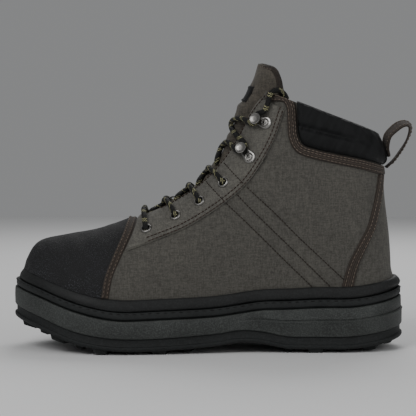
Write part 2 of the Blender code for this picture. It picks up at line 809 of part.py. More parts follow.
def strip(name, fine, widths, thickness, sides, finish, pitch, skip=0.0, to_back=False):
    """Braid along a side view curve, narrowing or widening evenly between its two end widths."""
    spots = pick(*trace(fine, to_back), pitch, skip)
    order = np.arange(len(fine))
    width = np.interp(order, [0, len(fine) - 1], widths)
    normal = beside(fine)
    sheet = Sheet()
    for side in sides:
        outer, inner = [], []
        for share, rise in ((-0.5, 0.55), (-0.3, 1.0), (0.3, 1.0), (0.5, 0.55)):
            xz = fine + normal * (width * share)[:, None]
            if not to_back:
                xz[-1, 1] = rand_top(xz[-1, 0]) + FOOT_GAP
            u, q = (np.interp(spots, order, column) for column in trace(xz, to_back))
            outer.append(LAST.point(u, q, side, CURVED_GAP + thickness * rise)[0])
            inner.append(LAST.point(u, q, side, CURVED_GAP)[0])
        sheet.grid(np.stack(outer, 1), np.stack(inner, 1), side == MEDIAL)
    return sheet.solid(name, finish)


def lowest_column(u):
    """Column at which each row reaches the rand's top."""
    columns = np.linspace(0, 1, 201)
    found = []
    for row in np.ravel(u):
        x, z, _ = LAST.half_width(row, columns)
        clear = z - rand_top(x) - FOOT_GAP > 0
        found.append(columns[np.argmin(clear)] if not clear.all() else 1.0)
    return np.array(found)


def cap_edge(behind):
    """Row of the cap's rear edge, shifted behind it, as a function of the column."""
    fine = smooth_line(CAP_EDGE)
    fine[:, 0] += behind
    u, q = LAST.locate(fine)
    u[0], q[0] = LAST.row_at_front(fine[0, 0]), 0.0
    rising = np.concatenate([[True], np.diff(np.maximum.accumulate(q)) > 1e-6])
    return lambda column: np.interp(column, q[rising], u[rising])


def foot_column(edge):
    """Column at which an edge of the cap comes down to the rand."""
    column = 0.9
    for _ in range(8):
        column = float(lowest_column(edge(column))[0])
    return column


def toe_cap(finish):
    """Pebbled cap over the toe, from the rand up to an edge that slants down and forward."""
    edge = cap_edge(0.0)
    share = np.linspace(0, 1, RING_COLUMNS + 1)
    end_q = share * foot_column(edge)
    end_u = edge(end_q)
    tip = np.linspace(0, 3, 301)
    x, z = LAST.values(tip)[:2]
    tip_u = tip[np.argmax(z > rand_top(x) + FOOT_GAP)]
    base_u = tip_u + (end_u[-1] - tip_u) * share**1.6
    base_q = lowest_column(base_u)
    base_q[0], base_q[-1] = 0.0, end_q[-1]
    sheet = Sheet()
    part = np.array([0, 0.05, 0.12, 0.21, 0.33, 0.52, 0.75, 1.0])[:, None]
    u = base_u[None] * (1 - part) + end_u[None] * part
    q = base_q[None] * (1 - part) + end_q[None] * part
    for side in (LATERAL, MEDIAL):
        outer = LAST.point(u, q, side, CAP_GAP + CAP_THICKNESS)[0]
        inner = LAST.point(u, q, side, CAP_GAP)[0]
        sheet.grid(outer, inner, side == MEDIAL)
    return sheet.solid("toe_cap", finish)


def toe_binding(finish):
    """Braid over the cap's rear edge."""
    edges = [cap_edge(GAP * 2 + TOE_BINDING_WIDTH * share) for share in (0.0, 0.2, 0.8, 1.0)]
    share = np.linspace(0, 1, RING_COLUMNS + 1)
    sheet = Sheet()
    for side in (LATERAL, MEDIAL):
        outer, inner = [], []
        for edge, rise in zip(edges, (0.55, 1.0, 1.0, 0.55)):
            q = share * foot_column(edge)
            u = edge(q)
            outer.append(LAST.point(u, q, side, CURVED_GAP + BINDING_THICKNESS * rise)[0])
            inner.append(LAST.point(u, q, side, CURVED_GAP)[0])
        sheet.grid(np.stack(outer), np.stack(inner), side == MEDIAL)
    return sheet.solid("toe_binding", finish)


def eyestay(side, label, finish):
    """Stiff strip beside the throat that carries the eyelets and hooks."""
    front = cap_edge(TOE_BINDING_WIDTH + GAP * 5)
    out_u, out_q = LAST.locate(evenly(smooth_line(STAY_EDGE), 0.0145))
    in_u = np.linspace(front(0.02), out_u[-1], len(out_u))
    in_q = LAST.at_width(in_u, half_gap(in_u) + STAY_SETBACK)
    part = np.linspace(0, 1, 5)[None]
    u = in_u[:, None] * (1 - part) + out_u[:, None] * part
    q = in_q[:, None] * (1 - part) + out_q[:, None] * part
    fade = np.clip(1 - np.arange(len(out_u)) / 3, 0, 1)[:, None]
    u = u + fade * (front(q[0]) - u[0])[None]
    sheet = Sheet()
    outer = LAST.point(u, q, side, STAY_GAP + STAY_THICKNESS)[0]
    inner = LAST.point(u, q, side, STAY_GAP)[0]
    sheet.grid(outer, inner, side == MEDIAL)
    return sheet.solid("eyestay_" + label, finish)


def heel_piping(side, label, finish):
    fine = down_to_rand(smooth_line(PIPING_LINE))
    widths = (PIPING_WIDTH * 0.42, PIPING_WIDTH)
    return strip("heel_piping_" + label, fine, widths, BINDING_THICKNESS, (side,), finish, 0.011,
                 skip=BINDING_WIDTH / 2 + GAP * 4)


def collar_binding(finish):
    width = (BINDING_WIDTH, BINDING_WIDTH)
    return strip("collar_binding", smooth_line(BINDING_LINE), width, BINDING_THICKNESS, (LATERAL, MEDIAL),
                 finish, 0.0140, to_back=True)


# Section of the collar pad: height as a share from its lower edge to the rim, and then above the rim,
# with the distance out from the upper's outer face, as shares of PAD_THICKNESS, or in from its inner face
PAD_OUTSIDE = ((0.0, 0.35), (0.12, 0.80), (0.45, 1.0), (0.80, 0.85), (1.0, 0.60))
PAD_RIM_RISE = 0.0016
PAD_INSIDE = ((1.0, 0.35), (0.80, 0.60), (0.45, 0.30), (0.40, 0.05))


def collar_pad(finish):
    """Padded roll over the collar's rim, from the binding round to the inside."""
    fine = smooth_line(BINDING_LINE)
    fine = fine - beside(fine) * (BINDING_WIDTH / 2 + GAP * 3)
    traced = trace(fine, True)
    spots = pick(*traced, 0.0145, PAD_START)
    low_u, low_q = (np.interp(spots, np.arange(len(fine)), column) for column in traced)
    tx, tz, bx, bz = LAST.values(COLLAR_ROW)[:4]
    front_x = float(np.interp(spots[0], np.arange(len(fine)), fine[:, 0]))
    front_q = LAST.column(COLLAR_ROW, (front_x - tx) / (bx - tx))
    rise = (low_q - low_q[0]) / (1 - low_q[0])
    rim_q = front_q + (1 - front_q) * rise
    inside = -(WALL + CURVED_GAP)
    top_u = COLLAR_ROW + PAD_RIM_RISE / PAD_ROW_RISE
    gap_u = COLLAR_ROW + CURVED_GAP / PAD_ROW_RISE
    section = [(h, CURVED_GAP + PAD_THICKNESS * o) for h, o in PAD_OUTSIDE]
    section += [(top_u, CURVED_GAP + PAD_THICKNESS * 0.1), (top_u, inside * 0.9)]
    section += [(h, inside - PAD_THICKNESS * o) for h, o in PAD_INSIDE]
    section += [(PAD_INSIDE[-1][0], inside), (1.0, inside), (gap_u, inside), (gap_u, CURVED_GAP)]
    section += [(1.0, CURVED_GAP), (0.5, CURVED_GAP), (0.0, CURVED_GAP)]
    rings = {LATERAL: [], MEDIAL: []}
    for side, ring_points in rings.items():
        for height, out in section:
            share = min(height, 1.0)
            u = low_u + (COLLAR_ROW - low_u) * share if height <= 1 else np.full(len(low_u), height)
            q = low_q + (rim_q - low_q) * share
            ring_points.append(LAST.point(u, q, side, out)[0])
    return loft(rings, "collar_pad", finish)


def loft(rings, name, finish):
    """A closed section carried along both sides, each side capped at its front and joined at the back."""
    points, faces = [], []
    for side, ring_points in rings.items():
        grid = np.stack(ring_points, 0)
        count, length = grid.shape[:2]
        base = len(points)
        points.extend(grid.reshape(-1, 3))
        for k in range(count):
            for i in range(length - 1):
                a, b = base + k * length + i, base + (k + 1) % count * length + i
                face = [a, a + 1, b + 1, b]
                faces.append(face[::-1] if side == MEDIAL else face)
        cap = [base + k * length for k in range(count)]
        half = PAD_CAP_SPLIT
        for k in range(half):
            face = [cap[k], cap[k + 1], cap[count - 2 - k], cap[count - 1 - k]]
            faces.append(face if side == MEDIAL else face[::-1])
    return mesh_object(name, points, faces, finish)


# Rise of the tongue's middle by row of the last, as a share of TONGUE_BULGE
TONGUE_RISES = (
    (5.0, 0.0),
    (5.3, 0.0),
    (5.6, 0.26),
    (6.0, 0.34),
    (7.0, 0.46),
    (8.0, 0.72),
    (9.0, 0.90),
    (11.0, 1.0),
    (16.0, 1.0),
)
# Across the tongue: shares of the throat's half gap up to 1 and of its own wing beyond, with the rise there
# between the eyestays and in its free top, as shares of the middle's
TONGUE_ACROSS = (
    (0.0, 1.0, 1.0),
    (0.35, 0.96, 0.97),
    (0.70, 0.74, 0.90),
    (0.93, 0.15, 0.80),
    (1.3, 0.0, 0.62),
    (2.0, 0.0, 0.36),
)


def tongue_face(u, share, side, depth=0.0):
    """A point of the tongue's face, share of the throat's half gap away from its middle."""
    rises = np.array(TONGUE_ACROSS)
    gap = float(np.maximum(half_gap(u), HALF_BALL * 0.19))
    wing = np.clip((share - 1) / (TONGUE_ACROSS[-1][0] - 1), 0, 1)
    half = gap * min(share, 1.0) + (TONGUE_HALF - gap) * wing
    q = float(LAST.at_width(np.array([u]), np.array([half]))[0])
    free = np.clip((u - COLLAR_ROW - 0.1) / 0.5, 0, 1)
    across = rises[:, 1] * (1 - free) + rises[:, 2] * free
    swell = np.interp(share, rises[:, 0], across) * np.interp(u, *zip(*TONGUE_RISES))
    out = -(WALL + TONGUE_GAP) + TONGUE_BULGE * swell - depth
    return LAST.point(np.array([u]), np.array([q]), side, np.array([out]))[0][0]


def tongue(finish):
    """Padded tongue under the eyestays, its middle raised between them and its top above the collar."""
    first = float(LAST.row_at_front(along_x(THROAT_ROWS[0][0] + TONGUE_AHEAD)))
    rows = np.concatenate([upper_rows_for(first, COLLAR_ROW, 0.0200), [15.3, 15.6, 15.85, 16.0]])
    shares = [row[0] for row in TONGUE_ACROSS]
    sheet = Sheet()
    thickness = np.interp(rows, [first, first + 1, 15.6, 16.0], [0.5, 1.0, 1.0, 0.55]) * TONGUE_THICKNESS
    knots = [first, first + 1.0, 15.0, 15.6, 15.85, 16.0]
    narrow = np.interp(rows, knots, [0.75, 1.0, 1.0, 0.80, 0.62, 0.40])
    for side in (LATERAL, MEDIAL):
        outer, inner = [], []
        for k, share in enumerate(shares):
            at = share * narrow
            thin = 0.5 if k == len(shares) - 1 else 1.0
            pairs = [(tongue_face(u, a, side), tongue_face(u, a, side, t * thin))
                     for u, a, t in zip(rows, at, thickness)]
            outer.append(np.array([pair[0] for pair in pairs]))
            inner.append(np.array([pair[1] for pair in pairs]))
        sheet.grid(np.stack(outer, 1), np.stack(inner, 1), side == MEDIAL)
    return sheet.solid("tongue", finish)


def pull_loop(finish):
    """Doubled webbing sewn to the back of the collar, standing open above it."""
    def seat(share_z, cover):
        z = float(side_point(0.0, share_z)[1])
        return float(LAST.back(z)) + CURVED_GAP + cover + FOOT_GAP + LOOP_THICKNESS / 2, z

    foot, top, end = LOOP_SEATS
    knots = [seat(foot, PAD_THICKNESS), seat(top, PAD_THICKNESS), *side_point(*zip(*LOOP_LINE)),
             seat(end, BINDING_THICKNESS)]
    line = evenly(smooth_rows(knots, 6), 0.0055)
    normal = beside(line)
    half = LOOP_WIDTH / 2
    sheet = Sheet()
    across = (-half, -half * 0.8, half * 0.8, half)
    outer, inner = [], []
    for y in across:
        thick = LOOP_THICKNESS * (1.0 if abs(y) < half else 0.7)
        middle = centre(line[:, 0]) + y
        for face, shift in ((outer, -normal * thick / 2), (inner, normal * thick / 2)):
            moved = line + shift
            face.append(np.stack([moved[:, 0], middle, moved[:, 1]], -1))
    sheet.grid(np.stack(outer, 1), np.stack(inner, 1))
    return sheet.solid("pull_loop", finish)


def frame_at(share_x, share_z, side):
    """Place and direction of the upper's surface under a side view point."""
    u, q = LAST.locate(side_point(share_x, share_z)[None])
    place, normal = LAST.point(u, q, side)
    return Vector(place[0]), Vector(normal[0])


def turned(name, profile, sides, place, axis, finish):
    """A closed profile of (radius, height) turned about an axis."""
    turn = Vector((0, 0, 1)).rotation_difference(axis).to_matrix()
    points, faces = [], []
    for k in range(sides):
        angle = 2 * math.pi * k / sides
        for radius, height in profile:
            points.append(place + turn @ Vector((radius * math.cos(angle), radius * math.sin(angle), height)))
    count = len(profile)
    for k in range(sides):
        for i in range(count):
            a, b = k * count, (k + 1) % sides * count
            faces.append([a + i, b + i, b + (i + 1) % count, a + (i + 1) % count])
    return mesh_object(name, points, faces, finish)


STAY_TOP = STAY_GAP + STAY_THICKNESS + SEAT_GAP  # above the upper's face


def eyelet(name, row, side, finish):
    """Rolled metal ring through the eyestay and the upper."""
    place, axis = frame_at(*row, side)
    bore, flange, metal = EYELET_BORE, EYELET_FLANGE, EYELET_METAL
    profile = (
        (bore, -WALL - metal),
        (bore + metal, -WALL - metal),
        (bore + metal, STAY_TOP),
        (flange, STAY_TOP + metal * 0.5),
        ((bore + flange) / 2, STAY_TOP + metal * 3),
        (bore + metal * 0.2, STAY_TOP + metal * 1.8),
    )
    return turned(name, profile, 10, place, axis, finish)


def hole_cutter(side, label, finish):
    """Round pins through the eyestay and the upper, one for each eyelet."""
    points, faces = [], []
    reach = WALL * 2.5
    for row in EYELETS:
        place, axis = frame_at(*row, side)
        turn = Vector((0, 0, 1)).rotation_difference(axis).to_matrix()
        base = len(points)
        sides = 8
        radius = (EYELET_BORE + EYELET_METAL + GAP) / math.cos(math.pi / sides)
        for height in (-reach, reach):
            for k in range(sides):
                angle = 2 * math.pi * k / sides
                spot = Vector((radius * math.cos(angle), radius * math.sin(angle), height))
                points.append(place + turn @ spot)
        faces += [[base + k, base + (k + 1) % sides, base + sides + (k + 1) % sides, base + sides + k]
                  for k in range(sides)]
        faces += [list(range(base, base + sides)), list(range(base + sides, base + 2 * sides))]
    pins = mesh_object("eyelet_pins_" + label, points, faces, finish, smooth=False)
    pins.hide_render = True
    pins.display_type = "WIRE"
    return pins


def cut(obj, cutter, how="DIFFERENCE"):
    step = obj.modifiers.new(cutter.name, "BOOLEAN")
    step.operation, step.object, step.solver = how, cutter, "EXACT"
    return step


def hook(name, row, side, finish):
    """Speed hook: a riveted plate that turns up and back into a flat head."""
    rivet, axis = frame_at(row[0], row[1], side)
    head, _ = frame_at(row[2], row[3], side)
    ahead = (head - rivet) - axis * (head - rivet).dot(axis)
    reach = ahead.length
    ahead.normalize()
    aside = axis.cross(ahead)
    base = STAY_TOP
    plate, throat, top = HOOK_METAL, HOOK_THROAT, base + HOOK_METAL + HOOK_THROAT
    # stations along the strip: distance ahead of the rivet, underside, top, half width
    rows = (
        (-0.42 * HOOK_HEAD, base, base + plate, 0.45 * HOOK_HEAD),
        (-0.10 * HOOK_HEAD, base, base + plate * 1.6, 0.72 * HOOK_HEAD),
        (0.35 * HOOK_HEAD, base, base + plate * 1.5, 0.66 * HOOK_HEAD),
        (reach - 0.2 * HOOK_HEAD, base, base + plate, 0.42 * HOOK_HEAD),
        (reach + 0.72 * HOOK_HEAD, base + plate * 0.5, base + plate * 1.2, 0.36 * HOOK_HEAD),
    )
    bend = (
        (reach + 0.98 * HOOK_HEAD, base + plate + throat * 0.45, 0.42 * HOOK_HEAD),
        (reach + 0.80 * HOOK_HEAD, top + plate * 0.9, 0.62 * HOOK_HEAD),
        (reach + 0.20 * HOOK_HEAD, top + plate * 1.35, 0.98 * HOOK_HEAD),
        (reach - 0.45 * HOOK_HEAD, top + plate * 1.2, 0.90 * HOOK_HEAD),
        (reach - 0.85 * HOOK_HEAD, top + plate * 0.6, 0.50 * HOOK_HEAD),
    )
    upper_line = [(d, high, w) for d, _, high, w in rows[:-1]] + [
        (reach + 0.45 * HOOK_HEAD, base + plate * 1.3, 0.36 * HOOK_HEAD),
        (reach + 0.62 * HOOK_HEAD, base + plate + throat * 0.5, 0.42 * HOOK_HEAD),
        (reach + 0.45 * HOOK_HEAD, top, 0.62 * HOOK_HEAD),
        (reach + 0.10 * HOOK_HEAD, top + plate * 0.25, 0.98 * HOOK_HEAD),
        (reach - 0.45 * HOOK_HEAD, top + plate * 0.25, 0.90 * HOOK_HEAD),
        (reach - 0.83 * HOOK_HEAD, top + plate * 0.25, 0.50 * HOOK_HEAD),
    ]
    lower_line = [(d, low, w) for d, low, _, w in rows] + list(bend)
    sheet = Sheet()
    outer, inner = [], []
    for (d_0, z_0, w_0), (d_1, z_1, w_1) in zip(lower_line, upper_line):
        outer.append([rivet + ahead * d_0 + axis * z_0 + aside * w_0 * k for k in (-1, 0, 1)])
        inner.append([rivet + ahead * d_1 + axis * z_1 + aside * w_1 * k for k in (-1, 0, 1)])
    sheet.grid(np.array(outer), np.array(inner), side == MEDIAL)
    return sheet.solid(name, finish)


def tube(name, route, radius, sides, finish):
    """A round cord along points, capped at its ends."""
    route = [Vector(p) for p in route]
    points, faces, across = [], [], None
    for k, p in enumerate(route):
        ahead = (route[min(k + 1, len(route) - 1)] - route[max(k - 1, 0)]).normalized()
        across = (across or Vector((0, 0, 1)).cross(ahead)).cross(ahead).cross(ahead) * -1
        across.normalize()
        other = ahead.cross(across)
        for n in range(sides):
            angle = 2 * math.pi * (n + 0.5) / sides
            points.append(p + across * radius * math.cos(angle) + other * radius * math.sin(angle))
    for k in range(len(route) - 1):
        for n in range(sides):
            a, b = k * sides + n, k * sides + (n + 1) % sides
            faces.append([a, b, b + sides, a + sides])
    last = len(route) * sides
    faces += [list(range(sides)), list(range(last - sides, last))]
    return mesh_object(name, points, faces, finish)


def over_upper(u, half, side, out):
    """A point half wide from the front line at row u, out from the upper's face."""
    q = LAST.at_width(np.array([u]), np.array([half]))
    return LAST.point(np.array([u]), q, side, np.array([out]))[0][0]


LACE = LACE_DIAMETER / 2
OVER_STAY = STAY_TOP + LACE + GAP * 3
OVER_TONGUE = LACE + CURVED_GAP + GAP / 2


def lace_rows():
    """Row and half width of each lace stop, from the lowest eyelets to the upper hooks."""
    stops = []
    for share_x, share_z in [*EYELETS, *[row[2:] for row in HOOKS]]:
        u, q = LAST.locate(side_point(share_x, share_z)[None])
        stops.append((float(u[0]), float(LAST.half_width(u, q)[2][0])))
    return stops


def strand(low, high, side):
    """Points of a strand from under the stay at one stop, across the tongue, to the next stop's far side."""
    (u_0, _), (u_1, half_1) = low, high
    gap = float(half_gap(u_1))
    near = 1 - (LACE + CURVED_GAP * 5) / float(half_gap(u_0 + 0.15 * (u_1 - u_0)))

    def row(share):
        return u_0 + share * (u_1 - u_0)

    knots = [
        tongue_face(row(0.15), near, side, -OVER_TONGUE - 0.0004),
        tongue_face(row(0.30), near * 0.6, side, -OVER_TONGUE),
        tongue_face(row(0.46), 0.0, side, -OVER_TONGUE),
        tongue_face(row(0.62), 0.50, -side, -OVER_TONGUE - 0.0006),
        over_upper(row(0.78), gap + 0.0010, -side, OVER_STAY + 0.0008),
        over_upper(row(0.92), (gap + half_1) / 2, -side, OVER_STAY + 0.0004),
    ]
    return smooth_rows(knots, 2)


def lace_crossings(finish):
    """The bar at the toe end of the throat and the five crossings above it, each of two joined strands."""
    stops = lace_rows()
    u, half = stops[0]
    gap = float(half_gap(u))
    ends = [[over_upper(u, half - EYELET_FLANGE, side, OVER_STAY),
             over_upper(u, gap, side, OVER_STAY + GAP * 2)] for side in (LATERAL, MEDIAL)]
    bar = [*ends[0], tongue_face(u, 0.0, LATERAL, -OVER_TONGUE - 0.0008), *reversed(ends[1])]
    tube("lace_bar", smooth_rows(bar, 2), LACE, 6, finish)
    for k, (low, high) in enumerate(zip(stops, stops[1:])):
        one = tube("lace_crossing_%d" % (k + 1), strand(low, high, LATERAL), LACE, 6, finish)
        other = tube("lace_strand_%d" % (k + 1), strand(low, high, MEDIAL), LACE * 0.97, 6, finish)
        other.hide_render = True
        other.display_type = "WIRE"
        cut(one, other, "UNION")


# A free end of the lace: side view shares on its way up over the quarter's top corner, then row and share
# across the tongue's wing, on which it ends
LACE_END_LINE = ((0.3513, 0.8890), (0.3472, 0.9057), (0.3390, 0.9455), (0.3368, 0.9687))
LACE_END_WING = ((15.28, 1.50), (15.40, 1.76))


def lace_end(side, label, finish):
    """A free end from the upper hook over the quarter's corner to the tongue's wing."""
    knots = []
    for spot in LACE_END_LINE:
        u, q = LAST.locate(side_point(*spot)[None])
        knots.append(LAST.point(u, q, side, OVER_STAY)[0][0])
    knots += [tongue_face(u, share, side, -OVER_TONGUE) for u, share in LACE_END_WING]
    route = evenly(smooth_rows(knots, 6), LACE_DIAMETER * 2)
    curve = bpy.data.curves.new("lace_end_" + label, "CURVE")
    curve.dimensions = "3D"
    curve.bevel_depth, curve.bevel_resolution, curve.use_fill_caps = LACE, 2, True
    spline = curve.splines.new("POLY")
    spline.points.add(len(route) - 1)
    for point, place in zip(spline.points, route):
        point.co = (*place, 1.0)
    curve.materials.append(finish)
    cord = bpy.data.objects.new("lace_end_" + label, curve)
    bpy.context.scene.collection.objects.link(cord)
    return cord


def tongue_patch(finish):
    """Plain raised patch on the front of the tongue's top."""
    rows = np.linspace(*PATCH_ROWS, 6)
    shares = (0.0, 0.2, 0.4, 0.55)
    sheet = Sheet()
    for side in (LATERAL, MEDIAL):
        outer = [[tongue_face(u, a, side, -CURVED_GAP - PATCH_THICKNESS) for a in shares] for u in rows]
        inner = [[tongue_face(u, a, side, -CURVED_GAP) for a in shares] for u in rows]
        sheet.grid(np.array(outer), np.array(inner), side == MEDIAL)
    return sheet.solid("tongue_patch", finish)


def lace_keeper(finish):
    """Arched keeper on the tongue's middle."""
    u = float(LAST.row_at_front(along_x(KEEPER_AT)))
    step = 0.02
    ahead = Vector(tongue_face(u + step, 0.0, LATERAL) - tongue_face(u - step, 0.0, LATERAL)).normalized()
    up = Vector((-ahead.z, 0, ahead.x))
    base = Vector(tongue_face(u, 0.0, LATERAL)) + up * CURVED_GAP
    outer, inner = [], []
    turn = np.linspace(0, math.pi, 9)
    for angle in turn:
        along, high = -math.cos(angle), math.sin(angle)
        for face, metal in ((outer, 0.0), (inner, KEEPER_METAL)):
            spot = base + ahead * along * (KEEPER_LENGTH / 2 - metal) + up * high * (KEEPER_RISE - metal)
            face.append([spot + Vector((0, y * KEEPER_WIDTH / 2, 0)) for y in (-1, 0, 1)])
    sheet = Sheet()
    sheet.grid(np.array(outer), np.array(inner))
    return sheet.solid("lace_keeper", finish)


def main():
    clear_scene()
    look = finishes()
    outsole(look["rubber"])
    midsole(look["foam"])
    welt(look["rubber"])
    insole(look["lining"])
    upper(look["cloth"])
    rand(look["rubber"])
    toe_cap(look["cap"])
    toe_binding(look["braid"])
    collar_binding(look["braid"])
    collar_pad(look["neoprene"])
    tongue(look["cloth"])
    tongue_patch(look["cap"])
    lace_keeper(look["rubber"])
    pull_loop(look["braid"])
    quarters = bpy.data.objects["upper"]
    for side, label in SIDES:
        stay = eyestay(side, label, look["cloth"])
        heel_piping(side, label, look["braid"])
        pins = hole_cutter(side, label, look["steel"])
        cut(stay, pins)
        cut(quarters, pins)
        for k, row in enumerate(EYELETS):
            eyelet("eyelet_%s_%d" % (label, k + 1), row, side, look["steel"])
        for row, level in zip(HOOKS, ("lower", "upper")):
            hook("hook_%s_%s" % (label, level), row, side, look["steel"])
        lace_end(side, label, look["lace"])
    lace_crossings(look["lace"])


if __name__ == "__main__":
    main()
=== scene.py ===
"""A left wading boot: sewn cloth upper, pebbled toe cap, padded collar and tongue, lace, and a lugged sole.

Metres, +Z up. The toe points to -X and the outer side of the foot to -Y.
"""

import math
from contextlib import contextmanager

import bpy
import numpy as np
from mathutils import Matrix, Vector


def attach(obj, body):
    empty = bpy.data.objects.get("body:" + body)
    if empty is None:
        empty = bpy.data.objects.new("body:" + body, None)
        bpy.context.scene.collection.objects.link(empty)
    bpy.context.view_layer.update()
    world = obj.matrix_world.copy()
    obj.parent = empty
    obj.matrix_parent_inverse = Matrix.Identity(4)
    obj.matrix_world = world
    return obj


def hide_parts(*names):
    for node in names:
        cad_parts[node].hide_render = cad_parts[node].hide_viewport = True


bl_info = {
    "name": "Wading Boot",
    "version": (1, 0, 0),
    "blender": (4, 5, 0),
    "location": "View3D > Sidebar > Boot",
    "description": "Dresses a wading boot with cloth, rubber, metal, thread and lace",
    "category": "Object",
}

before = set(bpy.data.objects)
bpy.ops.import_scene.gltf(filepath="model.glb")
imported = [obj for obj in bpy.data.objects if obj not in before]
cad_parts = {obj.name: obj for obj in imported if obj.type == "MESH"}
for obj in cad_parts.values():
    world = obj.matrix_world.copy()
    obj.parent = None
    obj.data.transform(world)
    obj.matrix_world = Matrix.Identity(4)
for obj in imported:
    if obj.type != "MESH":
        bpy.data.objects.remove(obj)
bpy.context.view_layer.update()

# Sole, in metres
SOLE_LENGTH = 0.318
HALF_BALL = 0.0585
TOE_SPRING = 0.0235
LUG_DEPTH = 0.0034
LIP_HEIGHT = 0.0040
BAND_HEIGHT = 0.0060
WALL_HEIGHT = 0.0236
WELT_HEIGHT = 0.0068
RAND_HEIGHT = 0.0092
TOE_REACH = 0.072
HEEL_REACH = 0.044
TOE_X = -0.162
HEEL_X = 0.156
OUTLINE_POWER = 2.15
OUTLINE_COLUMNS = 440

# Upper, in metres
UPPER_HEIGHT = 0.176
UPPER_INSET = 0.009
WALL = 0.0024
CAP_THICKNESS = 0.0016
STAY_THICKNESS = 0.0010
BINDING_THICKNESS = 0.0012
BINDING_WIDTH = 0.0078
TOE_BINDING_WIDTH = 0.0055
PIPING_WIDTH = 0.0095
PAD_THICKNESS = 0.0052
PAD_START = 0.0330
PAD_ROW_RISE = 0.0190
PAD_RIM_RISE = 0.0016
TONGUE_BULGE = 0.0095
TONGUE_GAP = 0.0013
TONGUE_HALF = 0.0310
TONGUE_THICKNESS = 0.0065
INSOLE_THICKNESS = 0.0045
LOOP_WIDTH = 0.016
LOOP_THICKNESS = 0.0018
LACE = 0.0021
EYELET_BORE = 0.0025
EYELET_FLANGE = 0.0047
EYELET_METAL = 0.0004
HOOK_HEAD = 0.0050
HOOK_METAL = 0.0012
HOOK_THROAT = 0.0048
GAP = 0.0003
CURVED_GAP = 0.0007
SEAT_GAP = 0.0006
STAY_GAP = 0.0011
STAY_SETBACK = 0.0008
CAP_GAP = 0.0012
FOOT_GAP = 0.0009
STAY_TOP = STAY_GAP + STAY_THICKNESS + SEAT_GAP
LIFT = 0.0001  # of the edges of sewn sheets over the cloth
TAPE_SHEET, PAD_SHEET, PATCH_SHEET = 0.0006, 0.0008, 0.0007
TONGUE_TAPE = (0.0020, 0.0026)
EYELET_HOLE = 0.0034
TROUGH_DEPTH, TROUGH_HALF = 0.00045, 0.0016

# Stitches: length, distance from one to the next and, where the panel doesn't set it, radius
TAPE_STITCH = (0.0024, 0.0033, 0.00032)
STAY_STITCH = (0.0029, 0.0032)
QUARTER_STITCH = (0.0022, 0.0027)
CHANNEL_STITCH = (0.0022, 0.0032, 0.00028)
WELT_STITCH = (0.0036, 0.0062, 0.00042)
STITCH_RISE = 0.5  # of a stitch's middle over the cloth, as a share of its radius

# Sewn lines: distances in from the eyestay's lower edge and the throat's, and shares of each tape's width
STAY_SEAMS, THROAT_SEAM = (0.0008, 0.0035), 0.0034
PIPING_STITCHES = (-0.26, 0.26)
COLLAR_STITCHES = (-0.30, -0.08, 0.30)
LOOP_STITCHES = (-0.36, 0.36)

# Steps along sewn lines and the lace, distance within which points merge, and degrees that are still smooth
SEAM_STEP = 0.0015
LACE_STEP = 0.0009
MERGE = 0.00002
SMOOTH_ANGLE = 45.0

SOLE_ROWS = (
    # along from the heel, half width, drift to the inner side, lift of the lip, height of the wall, as shares
    (0.00, 0.72, 0.00, 0.44, 1.02),
    (0.06, 0.73, 0.00, 0.27, 1.00),
    (0.14, 0.75, 0.00, 0.13, 0.99),
    (0.22, 0.75, -0.01, 0.12, 0.99),
    (0.30, 0.745, -0.02, 0.14, 0.92),
    (0.365, 0.75, -0.03, 0.31, 0.73),
    (0.42, 0.77, -0.035, 0.36, 0.58),
    (0.49, 0.82, -0.03, 0.235, 0.585),
    (0.62, 0.94, -0.01, 0.12, 0.63),
    (0.73, 1.00, 0.00, 0.12, 0.61),
    (0.83, 0.98, 0.04, 0.33, 0.67),
    (0.92, 0.93, 0.08, 0.76, 0.66),
    (0.97, 0.90, 0.11, 0.98, 0.64),
    (1.00, 0.88, 0.12, 1.10, 0.63),
)
UPPER_ROWS = (
    # top_x, top_z, base_x, base_z or None on the welt, top and middle half widths, reach of the rounded front
    (0.9720, 0.125, 0.9720, None, 0.72, 0.73, 0.14),
    (0.9620, 0.208, 0.9640, None, 0.72, 0.73, 0.15),
    (0.9320, 0.286, 0.9350, None, 0.73, 0.75, 0.17),
    (0.8620, 0.318, 0.8620, None, 0.78, 0.80, 0.23),
    (0.7800, 0.346, 0.7780, None, 0.82, 0.84, 0.27),
    (0.6980, 0.397, 0.6900, None, 0.82, 0.845, 0.30),
    (0.6100, 0.468, 0.5850, None, 0.76, 0.79, 0.30),
    (0.5220, 0.568, 0.4500, None, 0.70, 0.72, 0.29),
    (0.4650, 0.680, 0.3050, None, 0.66, 0.67, 0.27),
    (0.4330, 0.775, 0.1500, None, 0.64, 0.655, 0.25),
    (0.4210, 0.820, 0.0290, None, 0.635, 0.65, 0.245),
    (0.4130, 0.855, 0.0290, 0.190, 0.63, 0.65, 0.24),
    (0.4020, 0.900, 0.0340, 0.330, 0.625, 0.645, 0.235),
    (0.3920, 0.940, 0.0450, 0.490, 0.62, 0.64, 0.235),
    (0.3830, 0.974, 0.0540, 0.655, 0.61, 0.63, 0.235),
    (0.3750, 1.010, 0.0765, 0.798, 0.60, 0.62, 0.235),
    (0.3530, 1.112, 0.0900, 0.940, 0.59, 0.61, 0.235),
)
CORNER_ROW = 10
COLLAR_ROW = 15
THROAT_ROWS = (
    # along from the heel, half width of the throat, as shares
    (0.6750, 0.00), (0.6730, 0.07), (0.6660, 0.13), (0.6560, 0.16), (0.6450, 0.18), (0.5900, 0.21),
    (0.4950, 0.22), (0.4400, 0.25), (0.4120, 0.28), (0.3920, 0.32), (0.3740, 0.38),
)
